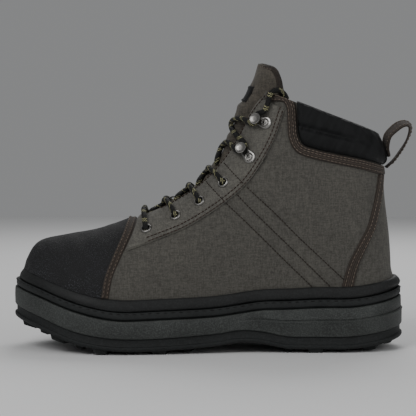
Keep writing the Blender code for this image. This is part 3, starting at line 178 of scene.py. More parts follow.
# Lines in side view: shares of SOLE_LENGTH from the heel, and of UPPER_HEIGHT above the ball
STAY_EDGE = (
    (0.7160, 0.262), (0.6200, 0.325), (0.5540, 0.375), (0.4890, 0.446), (0.4360, 0.518),
    (0.3960, 0.589), (0.3570, 0.696), (0.3310, 0.790), (0.3110, 0.892), (0.3070, 0.908),
)
BINDING_LINE = (
    (0.3370, 0.968), (0.3060, 0.962), (0.2920, 0.920), (0.2900, 0.850), (0.2870, 0.785),
    (0.2704, 0.733), (0.2296, 0.706), (0.1796, 0.686), (0.1123, 0.660), (0.0560, 0.632),
)
PIPING_LINE = (
    (0.0600, 0.630), (0.0616, 0.606), (0.0704, 0.492), (0.0874, 0.379), (0.1138, 0.286), (0.1350, 0.200),
    (0.1490, 0.104),
)
CAP_EDGE = (
    (0.7000, 0.395), (0.7130, 0.330), (0.7380, 0.230), (0.7560, 0.150), (0.7650, 0.060), (0.7680, 0.020),
)
LOOP_LINE = (
    (0.0384, 0.787), (0.0220, 0.822), (0.0047, 0.844), (-0.0110, 0.848), (-0.0198, 0.832), (-0.0176, 0.799),
    (-0.0050, 0.749), (0.0204, 0.682),
)
LOOP_SEATS = (0.695, 0.735, 0.645)  # heights of the loop's foot, of the last seat below its bow and of its end
# Middles of the eyelets, and the rivet and head of each hook
EYELETS = ((0.6540, 0.362), (0.5800, 0.422), (0.5190, 0.488), (0.4590, 0.575))
HOOKS = ((0.3935, 0.692, 0.4065, 0.722), (0.3535, 0.847, 0.3700, 0.856))
# A free end of the lace in side view, up to the quarter's top corner
LACE_END_LINE = ((0.3513, 0.8890), (0.3472, 0.9057), (0.3390, 0.9455), (0.3368, 0.9687))
PATCH_ROWS, PATCH_HALF = (12.9, 15.0), 0.55
KEEPER_AT = 0.5920
KEEPER_LENGTH, KEEPER_WIDTH, KEEPER_RISE, KEEPER_METAL = 0.0110, 0.0070, 0.0036, 0.0012
LUG_ROWS = (
    # along from the heel, and whether the row's outer blocks reach the edge
    (0.038, False), (0.086, True), (0.155, False), (0.223, True), (0.290, False), (0.545, False),
    (0.612, True), (0.685, False), (0.758, True), (0.812, False), (0.867, True), (0.908, False), (0.950, True),
)
LUG_LENGTH = 0.0095
LUG_TAPER = 0.0012
LUG_ROUND = 0.0005
# Each row's blocks: two ends as shares of the half width, and the skew
LUG_COLUMNS = ((-1.0, -0.42, 0.22), (-0.26, 0.26, 0.0), (0.42, 1.0, -0.22))
# The rib line of the sole's wall: height over its middle, and how far it is drawn in at the heel
RIB = ((-0.0014, -0.0003), (-0.0009, -0.0005), (-0.0004, -0.0002), (0.0001, 0.0012), (0.0006, 0.0012),
       (0.0011, 0.0007))
# Three sewn lines that run down and back over the quarter
QUARTER_SEAMS = (
    ((0.4556, 0.6626), (0.4088, 0.5709), (0.3324, 0.4408), (0.2690, 0.3262), (0.1661, 0.1519), (0.076, 0.001)),
    ((0.4303, 0.5323), (0.3963, 0.4674), (0.3118, 0.3188), (0.1970, 0.1153), (0.131, 0.001)),
    ((0.5005, 0.5738), (0.4515, 0.4822), (0.3964, 0.3874), (0.3121, 0.2357), (0.2421, 0.1133), (0.176, 0.001)),
)
# Soft folds of the cloth: two ends in shares of the side view, half width and depth in metres, ridges negative
FOLDS = (
    (0.330, 0.600, 0.200, 0.500, 0.0090, 0.00100),
    (0.300, 0.700, 0.150, 0.590, 0.0080, 0.00070),
    (0.330, 0.470, 0.160, 0.360, 0.0110, -0.00080),
    (0.250, 0.420, 0.080, 0.470, 0.0100, 0.00070),
    (0.640, 0.300, 0.600, 0.080, 0.0080, 0.00070),
    (0.590, 0.270, 0.545, 0.070, 0.0090, -0.00060),
    (0.530, 0.330, 0.470, 0.100, 0.0100, 0.00070),
    (0.410, 0.330, 0.360, 0.110, 0.0110, 0.00050),
    (0.080, 0.560, 0.050, 0.300, 0.0080, 0.00050),
)
LATERAL, MEDIAL = -1, 1
SIDES = ((LATERAL, "lateral"), (MEDIAL, "medial"))


def smooth_rows(rows, steps):
    """Rows of a table joined by smooth curves, steps to a row."""
    rows = np.array(rows, float)
    spot = np.linspace(0, len(rows) - 1, (len(rows) - 1) * steps + 1)
    left = np.minimum(spot.astype(int), len(rows) - 2)
    part = (spot - left)[:, None]
    padded = np.vstack([2 * rows[0] - rows[1], rows, 2 * rows[-1] - rows[-2]])
    a, b, c, d = (padded[left + k] for k in range(4))
    slope_b, slope_c = (c - a) / 2, (d - b) / 2
    return (
        b * (2 * part**3 - 3 * part**2 + 1)
        + slope_b * (part**3 - 2 * part**2 + part)
        + c * (3 * part**2 - 2 * part**3)
        + slope_c * (part**3 - part**2)
    )


def round_end(share, power=2.0):
    """Growth of a width from a round end: 0 at the end, 1 from share 1 on."""
    rest = 1 - np.clip(share, 0, 1)
    return (1 - rest**power) ** (1 / power)


def soft_step(low, high, value):
    """0 up to low, 1 from high on, eased between them."""
    share = np.clip((np.asarray(value, float) - low) / (high - low), 0, 1)
    return share * share * (3 - 2 * share)


def along_x(along):
    return HEEL_X - SOLE_LENGTH * np.asarray(along, float)


SOLE_CURVE = smooth_rows(SOLE_ROWS, 12)


def sole_value(column, x):
    along = (HEEL_X - np.asarray(x, float)) / SOLE_LENGTH
    return np.interp(along, SOLE_CURVE[:, 0], SOLE_CURVE[:, column])


def centre(x):
    return HALF_BALL * sole_value(2, x)


def half_outline(x, inset):
    """Half width of the sole's outline at x, drawn in by inset all round."""
    full = HALF_BALL * sole_value(1, x) - inset
    toe = round_end((x - TOE_X - inset) / (TOE_REACH - inset), OUTLINE_POWER)
    heel = round_end((HEEL_X - inset - x) / (HEEL_REACH - inset), OUTLINE_POWER)
    return full * toe * heel


def lip_z(x):
    return TOE_SPRING * sole_value(3, x)


def lip_top(x):
    return lip_z(x) + LIP_HEIGHT


def band_top(x):
    return lip_top(x) + BAND_HEIGHT


def wall_top(x):
    return band_top(x) + WALL_HEIGHT * sole_value(4, x)


def welt_top(x):
    return wall_top(x) + WELT_HEIGHT


def rand_top(x):
    return welt_top(x) + RAND_HEIGHT


BALL_WELT = float(welt_top(along_x(0.70)))


def side_point(share_x, share_z):
    """A point of the side view from its shares."""
    return np.stack([along_x(share_x), BALL_WELT + UPPER_HEIGHT * np.asarray(share_z, float)], -1)


def folds(x, z, side):
    """How far the cloth lies in at a point of the side view."""
    shift = 0.0012 * side
    depth = np.zeros(np.shape(x))
    for x_0, z_0, x_1, z_1, width, deep in FOLDS:
        a, b = side_point(x_0, z_0), side_point(x_1, z_1)
        ahead = b - a
        length = math.hypot(*ahead)
        ahead = ahead / length
        run = (x - a[0]) * ahead[0] + (z - a[1]) * ahead[1]
        across = (x - a[0]) * ahead[1] - (z - a[1]) * ahead[0] + shift + 0.002 * np.sin(run * 90)
        fade = soft_step(-0.010, 0.012, run) * (1 - soft_step(length - 0.012, length + 0.010, run))
        depth = depth + deep * np.exp(-((across / width) ** 2)) * fade
    return depth


class Last:
    """The upper's outer surface, by row u and share q from the front line round to the base or back."""

    STEPS = 16

    def __init__(self):
        rows = []
        for top_x, top_z, base_x, base_z, top, middle, reach in UPPER_ROWS:
            tx, tz = side_point(top_x, top_z)
            bx = float(along_x(base_x))
            bz = float(welt_top(bx)) + GAP if base_z is None else float(side_point(base_x, base_z)[1])
            rows.append((tx, tz, bx, bz, HALF_BALL * top, HALF_BALL * middle, UPPER_HEIGHT * reach))
        tip_x, tip_z = rows[0][2], rows[0][3]
        rows[0] = (tip_x, tip_z + GAP, tip_x, tip_z, *rows[0][4:])
        self.table = smooth_rows(rows, self.STEPS)
        self.rows = len(rows) - 1
        floor = slice(0, CORNER_ROW * self.STEPS + 1)
        self.table[floor, 3] = welt_top(self.table[floor, 2]) + GAP
        back = self.table[CORNER_ROW * self.STEPS :]
        self.back_z, self.back_x = back[:, 3], back[:, 2]

    def values(self, u):
        spot = np.clip(np.asarray(u, float), 0, self.rows) * self.STEPS
        grid = np.arange(len(self.table))
        return [np.interp(spot, grid, column) for column in self.table.T]

    def back(self, z):
        return np.interp(z, self.back_z, self.back_x)

    def spread(self, u):
        closing = np.clip((np.asarray(u, float) - CORNER_ROW + 2) / 2, 0, 1)
        return math.pi / 2 * (1 + closing)

    def share(self, u, q):
        turn = self.spread(u)
        return (1 - np.cos(q * turn)) / (1 - np.cos(turn))

    def column(self, u, share):
        turn = self.spread(u)
        return np.arccos(np.clip(1 - share * (1 - np.cos(turn)), -1, 1)) / turn

    def half_width(self, u, q):
        tx, tz, bx, bz, top, middle, reach = self.values(u)
        t = self.share(u, q)
        x, z = tx + (bx - tx) * t, tz + (bz - tz) * t
        end = HALF_BALL * sole_value(1, bx) - UPPER_INSET
        level = top * (1 - t) * (1 - 2 * t) + 4 * middle * t * (1 - t) + end * t * (2 * t - 1)
        front = round_end(t * np.hypot(bx - tx, bz - tz) / reach, 2.2)
        toe = round_end((x - TOE_X - UPPER_INSET) / (TOE_REACH - UPPER_INSET), OUTLINE_POWER)
        heel = round_end((self.back(z) - x) / (HEEL_REACH - UPPER_INSET), OUTLINE_POWER)
        return x, z, level * front * toe * heel

    def place(self, u, q, side):
        x, z, half = self.half_width(u, q)
        return np.stack([x, centre(x) + side * half, z], -1)

    def point(self, u, q, side, out=0.0):
        """Points of the surface moved out along its own direction, with that direction."""
        u, q = np.broadcast_arrays(np.asarray(u, float), np.asarray(q, float))
        u_0, u_1 = np.clip(u - 0.02, 0.05, self.rows), np.clip(u + 0.02, 0.07, self.rows)
        q_0, q_1 = np.clip(q - 0.02, 0, 1), np.clip(q + 0.02, 0, 1)
        along = self.place(u_1, q, side) - self.place(u_0, q, side)
        around = self.place(u, q_1, side) - self.place(u, q_0, side)
        around = np.where((u < 0.05)[..., None], np.array([0.0, float(side), 0.0]), around)
        normal = np.cross(around, along) * -side
        flat = np.zeros_like(along[..., 0])
        on_front = (q < 1e-6)[..., None]
        on_back = ((q > 1 - 1e-6) & (u >= CORNER_ROW - 1e-6))[..., None]
        normal = np.where(on_front, np.stack([-along[..., 2], flat, along[..., 0]], -1), normal)
        normal = np.where(on_back, np.stack([along[..., 2], flat, -along[..., 0]], -1), normal)
        normal /= np.linalg.norm(normal, axis=-1, keepdims=True)
        normal = np.where((u < 1e-6)[..., None], np.array([-1.0, 0.0, 0.0]), normal)
        spot = self.place(u, q, side)
        flank = soft_step(0.010, 0.024, np.abs(spot[..., 1] - centre(spot[..., 0])))
        lying = np.asarray(out, float) - folds(spot[..., 0], spot[..., 2], side) * flank
        return spot + normal * lying[..., None], normal

    def locate(self, xz):
        """Row and column of points of the side view."""
        xz = np.atleast_2d(np.asarray(xz, float))
        top, base = self.table[:, 0:2], self.table[:, 2:4]
        line = base - top
        gap_x = xz[:, None, 0] - top[None, :, 0]
        gap_z = xz[:, None, 1] - top[None, :, 1]
        cross = line[None, :, 0] * gap_z - line[None, :, 1] * gap_x
        cross[:, : self.STEPS // 4] = cross[:, self.STEPS // 4, None]
        ahead = cross < 0
        index = np.clip(np.argmax(ahead, axis=1) - 1, 0, len(top) - 2)
        index = np.where(ahead.any(axis=1), index, len(top) - 2)
        rows = np.arange(len(xz))
        low, high = cross[rows, index], cross[rows, index + 1]
        part = np.clip(low / np.where(np.abs(low - high) < 1e-15, 1, low - high), 0, 1)
        u = (index + part) / self.STEPS
        tx, tz, bx, bz = self.values(u)[:4]
        length = np.hypot(bx - tx, bz - tz)
        share = ((xz[:, 0] - tx) * (bx - tx) + (xz[:, 1] - tz) * (bz - tz)) / length**2
        return u, self.column(u, np.clip(share, 0, 1))

    def at_width(self, u, half):
        """Column at which row u is half wide, from the front; half may hold several widths for each row."""
        u = np.asarray(u, float)
        half = np.asarray(half, float)
        columns = np.linspace(0, 0.6, 81)
        flat_u, flat_half = np.ravel(u), half.reshape(u.size, -1)
        found = [np.interp(h, self.half_width(v, columns)[2], columns) for v, h in zip(flat_u, flat_half)]
        return np.array(found).reshape(half.shape)

    def row_at_back(self, z):
        return CORNER_ROW + np.interp(z, self.back_z, np.arange(len(self.back_z))) / self.STEPS

    def row_at_front(self, x):
        return np.interp(-x, -self.table[::-1, 0], np.arange(len(self.table))[::-1]) / self.STEPS


LAST = Last()
THROAT_CURVE = smooth_rows(THROAT_ROWS, 8)


def half_gap(u):
    """Half width of the throat at row u, 0 ahead of it."""
    front = (HEEL_X - LAST.values(u)[0]) / SOLE_LENGTH
    return HALF_BALL * np.maximum(np.interp(-front, -THROAT_CURVE[:, 0], THROAT_CURVE[:, 1], left=0.0), 0.0)


def throat_columns(u, setback=0.0):
    """Column of the throat's edge at each row, or of a line set back from it."""
    gap = half_gap(u)
    return np.where(gap > 0, LAST.at_width(u, np.maximum(gap, 1e-6) + setback), 0.0)


def smooth_line(shares, steps=16):
    """A smooth side view curve through table shares, in metres."""
    return side_point(*smooth_rows(shares, steps).T)


def run_along(points):
    """Distance along a curve at each of its points."""
    return np.concatenate([[0], np.cumsum(np.linalg.norm(np.diff(points, axis=0), axis=1))])


def at_spots(spots, run, rows):
    """Rows of a table read at distances of its run."""
    return np.stack([np.interp(spots, run, column) for column in rows.T], -1)


def unit(vectors):
    """Vectors brought to length 1."""
    return vectors / np.linalg.norm(vectors, axis=-1, keepdims=True)


def squared(wave, power):
    """A sine or cosine drawn out towards its corners."""
    return np.sign(wave) * np.abs(wave) ** power


def evenly(fine, pitch):
    """Points about pitch apart on a curve."""
    run = run_along(fine)
    return at_spots(np.linspace(0, run[-1], max(2, int(math.ceil(run[-1] / pitch)) + 1)), run, fine)


def beside(line):
    """Unit vectors across a side view line."""
    ahead = unit(np.gradient(line, axis=0))
    return np.stack([ahead[:, 1], -ahead[:, 0]], -1)


# The tongue's swelling: row and share of it; then spread from the middle and shares where laced and where free
TONGUE_RISES = (
    (5.0, 0.0), (5.3, 0.0), (5.6, 0.26), (6.0, 0.34), (7.0, 0.46), (8.0, 0.72), (9.0, 0.90), (11.0, 1.0),
    (16.0, 1.0),
)
TONGUE_ACROSS = (
    (0.0, 1.0, 1.0), (0.35, 0.96, 0.97), (0.70, 0.74, 0.90), (0.93, 0.15, 0.80), (1.3, 0.0, 0.62),
    (2.0, 0.0, 0.36),
)


def tongue_face(u, share, side, depth=0.0):
    """Points of the tongue's face, share of the throat's half gap away from its middle."""
    u, share = np.broadcast_arrays(np.atleast_1d(np.asarray(u, float)), np.asarray(share, float))
    rises = np.array(TONGUE_ACROSS)
    gap = np.maximum(half_gap(u), HALF_BALL * 0.19)
    wing = np.clip((share - 1) / (TONGUE_ACROSS[-1][0] - 1), 0, 1)
    half = gap * np.minimum(share, 1.0) + (TONGUE_HALF - gap) * wing
    q = LAST.at_width(u, half[..., None])[..., 0]
    free = np.clip((u - COLLAR_ROW - 0.1) / 0.5, 0, 1)
    held = np.interp(share, rises[:, 0], rises[:, 1])
    loose = np.interp(share, rises[:, 0], rises[:, 2])
    swell = (held * (1 - free) + loose * free) * np.interp(u, *zip(*TONGUE_RISES))
    return LAST.point(u, q, side, -(WALL + TONGUE_GAP) + TONGUE_BULGE * swell - depth)[0]


class Value:
    """A shader socket that takes part in plain arithmetic."""

    def __init__(self, finish, socket):
        self.finish, self.socket = finish, socket

    def maths(self, operation, other=0.0, turned=False):
        pair = (other, self) if turned else (self, other)
        return self.finish.node("Math", {"operation": operation}, {0: pair[0], 1: pair[1]})

    def __add__(self, other):
        return self.maths("ADD", other)

    __radd__ = __add__

    def __mul__(self, other):
        return self.maths("MULTIPLY", other)

    __rmul__ = __mul__

    def __sub__(self, other):
        return self.maths("SUBTRACT", other)

    def __rsub__(self, other):
        return self.maths("SUBTRACT", other, True)

    def __truediv__(self, other):
        return self.maths("DIVIDE", other)

    def __pow__(self, other):
        return self.maths("POWER", other)

    def sine(self):
        return self.maths("SINE")

    def size(self):
        return self.maths("ABSOLUTE")

    def ramp(self, low, high, to_low=0.0, to_high=1.0):
        """The value's stretch from low to high, eased and laid over another stretch."""
        return self.finish.node(
            "MapRange", {"interpolation_type": "SMOOTHSTEP"},
            {"Value": self, "From Min": low, "From Max": high, "To Min": to_low, "To Max": to_high},
        )


class Finish:
    """One material: uniform values sit on the shader, and patterns are node expressions."""

    def __init__(self, name, roughness, **uniform):
        self.material = bpy.data.materials.new(name)
        self.material.use_nodes = True
        self.tree = self.material.node_tree
        self.shader = self.tree.nodes["Principled BSDF"]
        self.shader.inputs["Roughness"].default_value = roughness
        for label, value in uniform.items():
            self.shader.inputs[label].default_value = value

    def node(self, kind, settings=None, inputs=None, output=0):
        made = self.tree.nodes.new("ShaderNode" + kind)
        for label, value in (settings or {}).items():
            setattr(made, label, value)
        for label, value in (inputs or {}).items():
            socket = made.inputs[label]
            if isinstance(value, Value):
                self.tree.links.new(value.socket, socket)
            else:
                socket.default_value = value
        return Value(self, made.outputs[output])

    def place(self, source="Object"):
        return self.node("TexCoord", output=source)

    def split(self, vector):
        made = self.node("SeparateXYZ", inputs={0: vector}).socket.node
        return [Value(self, made.outputs[k]) for k in range(3)]

    def stretch(self, vector, scale):
        return self.node("Mapping", inputs={"Vector": vector, "Scale": scale})

    def noise(self, vector, scale, detail, rough=0.5):
        sockets = {"Vector": vector, "Scale": scale, "Detail": detail, "Roughness": rough}
        return self.node("TexNoise", inputs=sockets)

    def cells(self, vector, scale, jitter=1.0):
        sockets = {"Vector": vector, "Scale": scale, "Randomness": jitter}
        return self.node("TexVoronoi", inputs=sockets, output="Distance")

    def blend(self, share, low, high):
        """Two tones, or a tone and a value, mixed by a share."""
        low, high = ((*each, 1.0) if isinstance(each, tuple) else each for each in (low, high))
        return self.node("Mix", {"data_type": "RGBA"}, {0: share, 6: low, 7: high}, 2)

    def feed(self, label, value):
        self.tree.links.new(value.socket, self.shader.inputs[label])

    def paint(self, share, dark, light):
        self.feed("Base Color", self.blend(share, tone(dark), tone(light)))

    def raise_by(self, height, distance, strength):
        bump = self.node("Bump", inputs={"Height": height, "Distance": distance, "Strength": strength})
        self.feed("Normal", bump)


def tone(text):
    """Linear colour of a web colour, or of a colour from the panel."""
    if not isinstance(text, str):
        return tuple(text)
    parts = [int(text[k : k + 2], 16) / 255 for k in (0, 2, 4)]
    return tuple(c / 12.92 if c <= 0.04045 else ((c + 0.055) / 1.055) ** 2.4 for c in parts)


def canvas(name, dark, light, pitch, rough=0.86):
    """Plain weave of fine two-tone yarn, square to the side view, with slow patches of fade and handling."""
    made = Finish(name, rough, **{"Sheen Weight": 0.08, "Sheen Roughness": 0.6, "Specular IOR Level": 0.25})
    spot = made.place()
    along, deep, high = made.split(spot)
    rise = high + deep.size() * 0.7
    warp = (along * (math.pi / pitch)).sine()
    weft = (rise * (math.pi / pitch)).sine()
    weave = (warp * weft).size() ** 0.5
    slub_a = made.noise(made.stretch(spot, (1 / pitch, 0.3 / pitch, 0.22 / pitch)), 0.8, 1.0)
    slub_b = made.noise(made.stretch(spot, (0.22 / pitch, 0.3 / pitch, 1 / pitch)), 0.8, 1.0)
    slub = (slub_a + slub_b) * 0.5
    fleck = made.noise(spot, 900.0, 2.0)
    patch = made.noise(spot, 24.0, 3.0)
    shade = slub.ramp(0.36, 0.64) * 0.50 + fleck.ramp(0.38, 0.62) * 0.35 + patch.ramp(0.35, 0.68) * 0.15
    yarn = made.blend(shade, tone(dark), tone(light))
    made.feed("Base Color", made.blend(weave.ramp(0.0, 0.45, 0.62, 1.0), tone("1a1917"), yarn))
    made.feed("Roughness", patch.ramp(0.3, 0.7, rough - 0.06, rough + 0.06))
    made.raise_by(weave * 0.6 + slub * 0.7, 0.00018, 0.8)
    return made.material


def pebbled(name, dark, light):
    """Coated cloth with close round pebbles; a painted highlight lightens the pebble tops and pale glints,
    most low on the cap near the welt.
    """
    made = Finish(name, 0.5, **{"Specular IOR Level": 0.30})
    spot = made.place()
    wave = made.noise(spot, 55.0, 2.0)
    pebble = made.cells(spot, 820.0, jitter=0.9)
    fine = made.cells(spot, 1700.0)
    _, _, high = made.split(spot)
    # Painted highlight mask: strongest low on the cap, near the welt, in soft patches
    highlighted = (1 - high.ramp(0.046, 0.098)) * wave.ramp(0.34, 0.62)
    top = pebble.ramp(0.1, 0.5, 1.0, 0.0)
    # Sparse pale specks on the pebbles: painted glints
    painted_glint = fine.ramp(0.10, 0.30, 1.0, 0.0) * made.noise(spot, 380.0, 1.0).ramp(0.50, 0.64)
    # Pebble tops and glints are painted lighter everywhere, and lighter still under the painted highlight mask
    made.paint(top * (highlighted * 0.50 + 0.16) + painted_glint * (highlighted * 0.60 + 0.20), dark, light)
    made.feed("Roughness", top.ramp(0.0, 1.0, 0.68, 0.46) + wave * 0.10)
    made.raise_by(top * 0.8 + fine.ramp(0.0, 0.5, 0.3, 0.0), 0.00050, 1.0)
    return made.material


def braid(name, dark, light, pitch=0.0011, slant=1.0):
    """Narrow woven tape: slanting ribs that meet along its middle, darker between them."""
    made = Finish(name, 0.82, **{"Sheen Weight": 0.06, "Sheen Roughness": 0.6, "Specular IOR Level": 0.25})
    across, along, _ = made.split(made.place("UV"))
    rib = ((along + across.size() * slant) * (math.pi / pitch)).sine().size()
    edge = (across * (math.pi / (pitch * 1.5))).sine().size().ramp(0.15, 0.75)
    fray = made.noise(made.place(), 420.0, 3.0)
    made.paint(rib * 0.20 + edge * 0.55 + fray.ramp(0.35, 0.7) * 0.25, dark, light)
    made.feed("Roughness", fray.ramp(0.3, 0.7, 0.74, 0.92))
    made.raise_by(rib * 0.7 + edge * 0.8 + fray * 0.4, 0.00028, 0.9)
    return made.material


def knit(name, dark, light):
    """Stretch knit over foam: fine ribs, a soft sheen and faint pull lines."""
    made = Finish(name, 0.56, **{"Specular IOR Level": 0.22})
    cloth = made.place("UV")
    across, along, _ = made.split(cloth)
    rib = (across * (math.pi / 0.00062)).sine().size()
    loops = (along * (math.pi / 0.00085) + rib * 0.8).sine().size()
    pull = made.noise(made.stretch(cloth, (30.0, 260.0, 1.0)), 1.0, 2.0)
    made.paint(pull.ramp(0.35, 0.7), dark, light)
    made.feed("Roughness", pull.ramp(0.3, 0.7, 0.50, 0.64))
    made.raise_by(rib * 0.5 + loops * 0.5 + pull * 1.2, 0.00012, 0.8)
    return made.material


def moulded(name, dark, light, rough, grain=900.0, depth=0.00010, dust=0.0):
    """Moulded rubber or foam: fine grain, slow tone changes, and dust that strengthens the fine grain's pale
    flecks.
    """
    made = Finish(name, rough, **{"Specular IOR Level": 0.25})
    spot = made.place()
    slow = made.noise(spot, 38.0, 3.0)
    fine = made.noise(spot, grain, 3.0, 0.6)
    made.paint(slow.ramp(0.34, 0.68) * 0.30 + fine.ramp(0.42, 0.66) * (0.40 + dust), dark, light)
    made.feed("Roughness", slow.ramp(0.3, 0.7, rough - 0.07, rough + 0.07))
    made.raise_by(fine + slow * 0.4, depth, 0.8)
    return made.material


def metal(name, colour, rough):
    """Polished plate with faint smears and a little grime."""
    made = Finish(name, rough, Metallic=1.0)
    spot = made.place()
    smear = made.noise(made.stretch(spot, (300.0, 300.0, 900.0)), 1.0, 3.0)
    made.paint(smear.ramp(0.30, 0.75), tuple(c * 0.75 for c in tone(colour)), colour)
    made.feed("Roughness", smear.ramp(0.3, 0.75, rough + 0.10, rough - 0.04))
    made.raise_by(smear, 0.00003, 0.5)
    return made.material


def cord(name, dark, light, fleck, every):
    """Round braided lace: crossing strands, with pale zigzag flecks set at a steady spacing."""
    made = Finish(name, 0.72, **{"Specular IOR Level": 0.3})
    around, pitch = 8.0, 0.0022
    turn, along, _ = made.split(made.place("UV"))
    one = (along * (2 * math.pi / pitch) + turn * (math.pi * around)).sine()
    two = (along * (2 * math.pi / pitch) - turn * (math.pi * around)).sine()
    strands = (one * two).size() ** 0.5
    beat = (along * (2 * math.pi / every) + (turn * (2 * math.pi)).sine() * 1.2).sine()
    zigzag = (along * (2 * math.pi / pitch) + (turn * (6 * math.pi)).sine() * 2.4).sine()
    flecks = beat.ramp(0.40, 0.60) * zigzag.ramp(0.15, 0.50)
    base = made.blend(strands.ramp(0.1, 0.8), tone(dark), tone(light))
    made.feed("Base Color", made.blend(flecks, base, tone(fleck)))
    made.feed("Roughness", strands.ramp(0.0, 1.0, 0.85, 0.62))
    made.raise_by(strands, 0.00035, 1.0)
    return made.material


def thread(name, dark, light):
    """Twisted sewing thread."""
    made = Finish(name, 0.6, **{"Specular IOR Level": 0.3})
    spot = made.place()
    twist = made.noise(spot, 2600.0, 1.0)
    made.paint(twist.ramp(0.35, 0.65), dark, light)
    made.raise_by(twist, 0.00008, 0.6)
    return made.material


def deselect():
    if bpy.context.mode != "OBJECT":
        bpy.ops.object.mode_set(mode="OBJECT")
    bpy.ops.object.select_all(action="DESELECT")


def take(*pieces):
    """Selects pieces, the first of them active."""
    deselect()
    for piece in pieces:
        piece.select_set(True)
    bpy.context.view_layer.objects.active = pieces[0]
    return pieces[0]


def read(items, label, wide=3):
    """A property of mesh items, as rows of numbers."""
    flat = np.empty(len(items) * wide)
    items.foreach_get(label, flat)
    return flat.reshape(-1, wide)


@contextmanager
def editing(piece):
    """Edit mode on a piece, with all of it selected."""
    take(piece)
    bpy.ops.object.mode_set(mode="EDIT")
    bpy.ops.mesh.select_all(action="SELECT")
    yield
    bpy.ops.object.mode_set(mode="OBJECT")


def laid(name, points, *finishes):
    """A grid primitive whose points are laid on a surface, given as rows of points."""
    deselect()
    rows, columns = points.shape[:2]
    bpy.ops.mesh.primitive_grid_add(x_subdivisions=columns - 1, y_subdivisions=rows - 1, size=2)
    piece = bpy.context.object
    piece.name = piece.data.name = name
    mesh = piece.data
    flat = read(mesh.vertices, "co")
    order = np.lexsort((flat[:, 0], flat[:, 1]))
    placed = np.empty_like(flat)
    placed[order] = points.reshape(-1, 3)
    mesh.vertices.foreach_set("co", placed.ravel())
    cloth_measure(mesh, order, points)
    for finish in finishes:
        mesh.materials.append(finish)
    mesh.update()
    return piece


def cloth_measure(mesh, order, points):
    """UVs in metres, measured over the laid surface from its middle column and its first row."""
    step_s = np.linalg.norm(np.diff(points, axis=1), axis=2)
    step_t = np.linalg.norm(np.diff(points, axis=0), axis=2)
    s = np.concatenate([np.zeros((len(points), 1)), np.cumsum(step_s, axis=1)], axis=1)
    s = s - s[:, points.shape[1] // 2][:, None]
    t = np.concatenate([np.zeros((1, points.shape[1])), np.cumsum(step_t, axis=0)], axis=0)
    at_vertex = np.empty((len(order), 2))
    at_vertex[order] = np.stack([s, t], -1).reshape(-1, 2)
    corner = np.empty(len(mesh.loops), int)
    mesh.loops.foreach_get("vertex_index", corner)
    layer = mesh.uv_layers[0] if mesh.uv_layers else mesh.uv_layers.new(name="UVMap")
    layer.data.foreach_set("uv", at_vertex[corner].ravel())


def sewn(name, pieces):
    """Pieces joined into one, their meeting points merged and their faces turned out."""
    piece = take(*pieces)
    if len(pieces) > 1:
        bpy.ops.object.join()
    piece.name = piece.data.name = name
    with editing(piece):
        bpy.ops.mesh.remove_doubles(threshold=MERGE)
        bpy.ops.mesh.dissolve_degenerate(threshold=MERGE / 2)
        bpy.ops.mesh.normals_make_consistent(inside=False)
    return piece


def filled(piece):
    """Closes the open ends of a piece."""
    with editing(piece):
        bpy.ops.mesh.select_mode(type="EDGE")
        bpy.ops.mesh.select_all(action="DESELECT")
        bpy.ops.mesh.select_non_manifold()
        bpy.ops.mesh.edge_face_add()
        bpy.ops.mesh.select_all(action="SELECT")
        bpy.ops.mesh.normals_make_consistent(inside=False)
    return piece


def from_axis(centres):
    """Directions out of the boot's middle line, as seen from above."""
    x, _, z = centres.T
    return centres - np.stack([x * 0.9 + 0.004, centre(x), z * 0 + 0.05], -1)


def facing(piece, direction_of=from_axis):
    """Turns an open sheet's faces so that most of them look the way direction_of says for their centres."""
    faces = piece.data.polygons
    if (direction_of(read(faces, "center")) * read(faces, "normal")).sum() < 0:
        with editing(piece):
            bpy.ops.mesh.flip_normals()
    return piece


def modified(piece, kind, **settings):
    """A modifier that is added and applied at once."""
    take(piece)
    step = piece.modifiers.new(kind.lower(), kind)
    for label, value in settings.items():
        setattr(step, label, value)
    bpy.ops.object.modifier_apply(modifier=step.name)
    return piece


def thickened(piece, thickness, **settings):
    """Gives an open sheet its thickness, inwards from its face."""
    return modified(piece, "SOLIDIFY", thickness=thickness, offset=-1.0, **settings)


def done(piece, stands_for=()):
    """Last steps of a piece: shading, its body and the node it stands for."""
    take(piece)
    bpy.ops.object.shade_smooth_by_angle(angle=math.radians(SMOOTH_ANGLE))
    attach(piece, "root")
    if stands_for:
        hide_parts(*stands_for)
    deselect()
    return piece


def swept(name, route, section, finish):
    """A closed section of (across, up) offsets, carried along a route on turning-free frames."""
    ahead = unit(np.gradient(route, axis=0))
    across = [unit(np.cross(ahead[0], (0.0, 0.0, 1.0)))]
    for way in ahead[1:]:
        across.append(unit(across[-1] - way * (across[-1] @ way)))
    across = np.array(across)[:, None]
    up = np.cross(across, ahead[:, None])
    shape = np.array(section)
    piece = laid(name, route[:, None] + across * shape[:, :1] + up * shape[:, 1:], finish)
    share_uv(piece)
    return filled(sewn(name, [piece]))


def closed_loft(name, points, finish):
    """A tube of sections: rows along, columns round with the last column on the first, its ends filled."""
    return filled(sewn(name, [laid(name, points, finish)]))


def share_uv(piece):
    """Sets the UV's first part to the share round the section, and leaves the length along in metres."""
    layer = piece.data.uv_layers[0].data
    flat = read(layer, "uv", 2)
    width = flat[:, 0].max() - flat[:, 0].min()
    flat[:, 0] = (flat[:, 0] - flat[:, 0].min()) / width
    layer.foreach_set("uv", flat.ravel())


def ring_section(wide, high, sides):
    """An oval of offsets, its last on its first."""
    return [(wide * math.cos(a), high * math.sin(a)) for a in np.linspace(0, 2 * math.pi, sides + 1)]


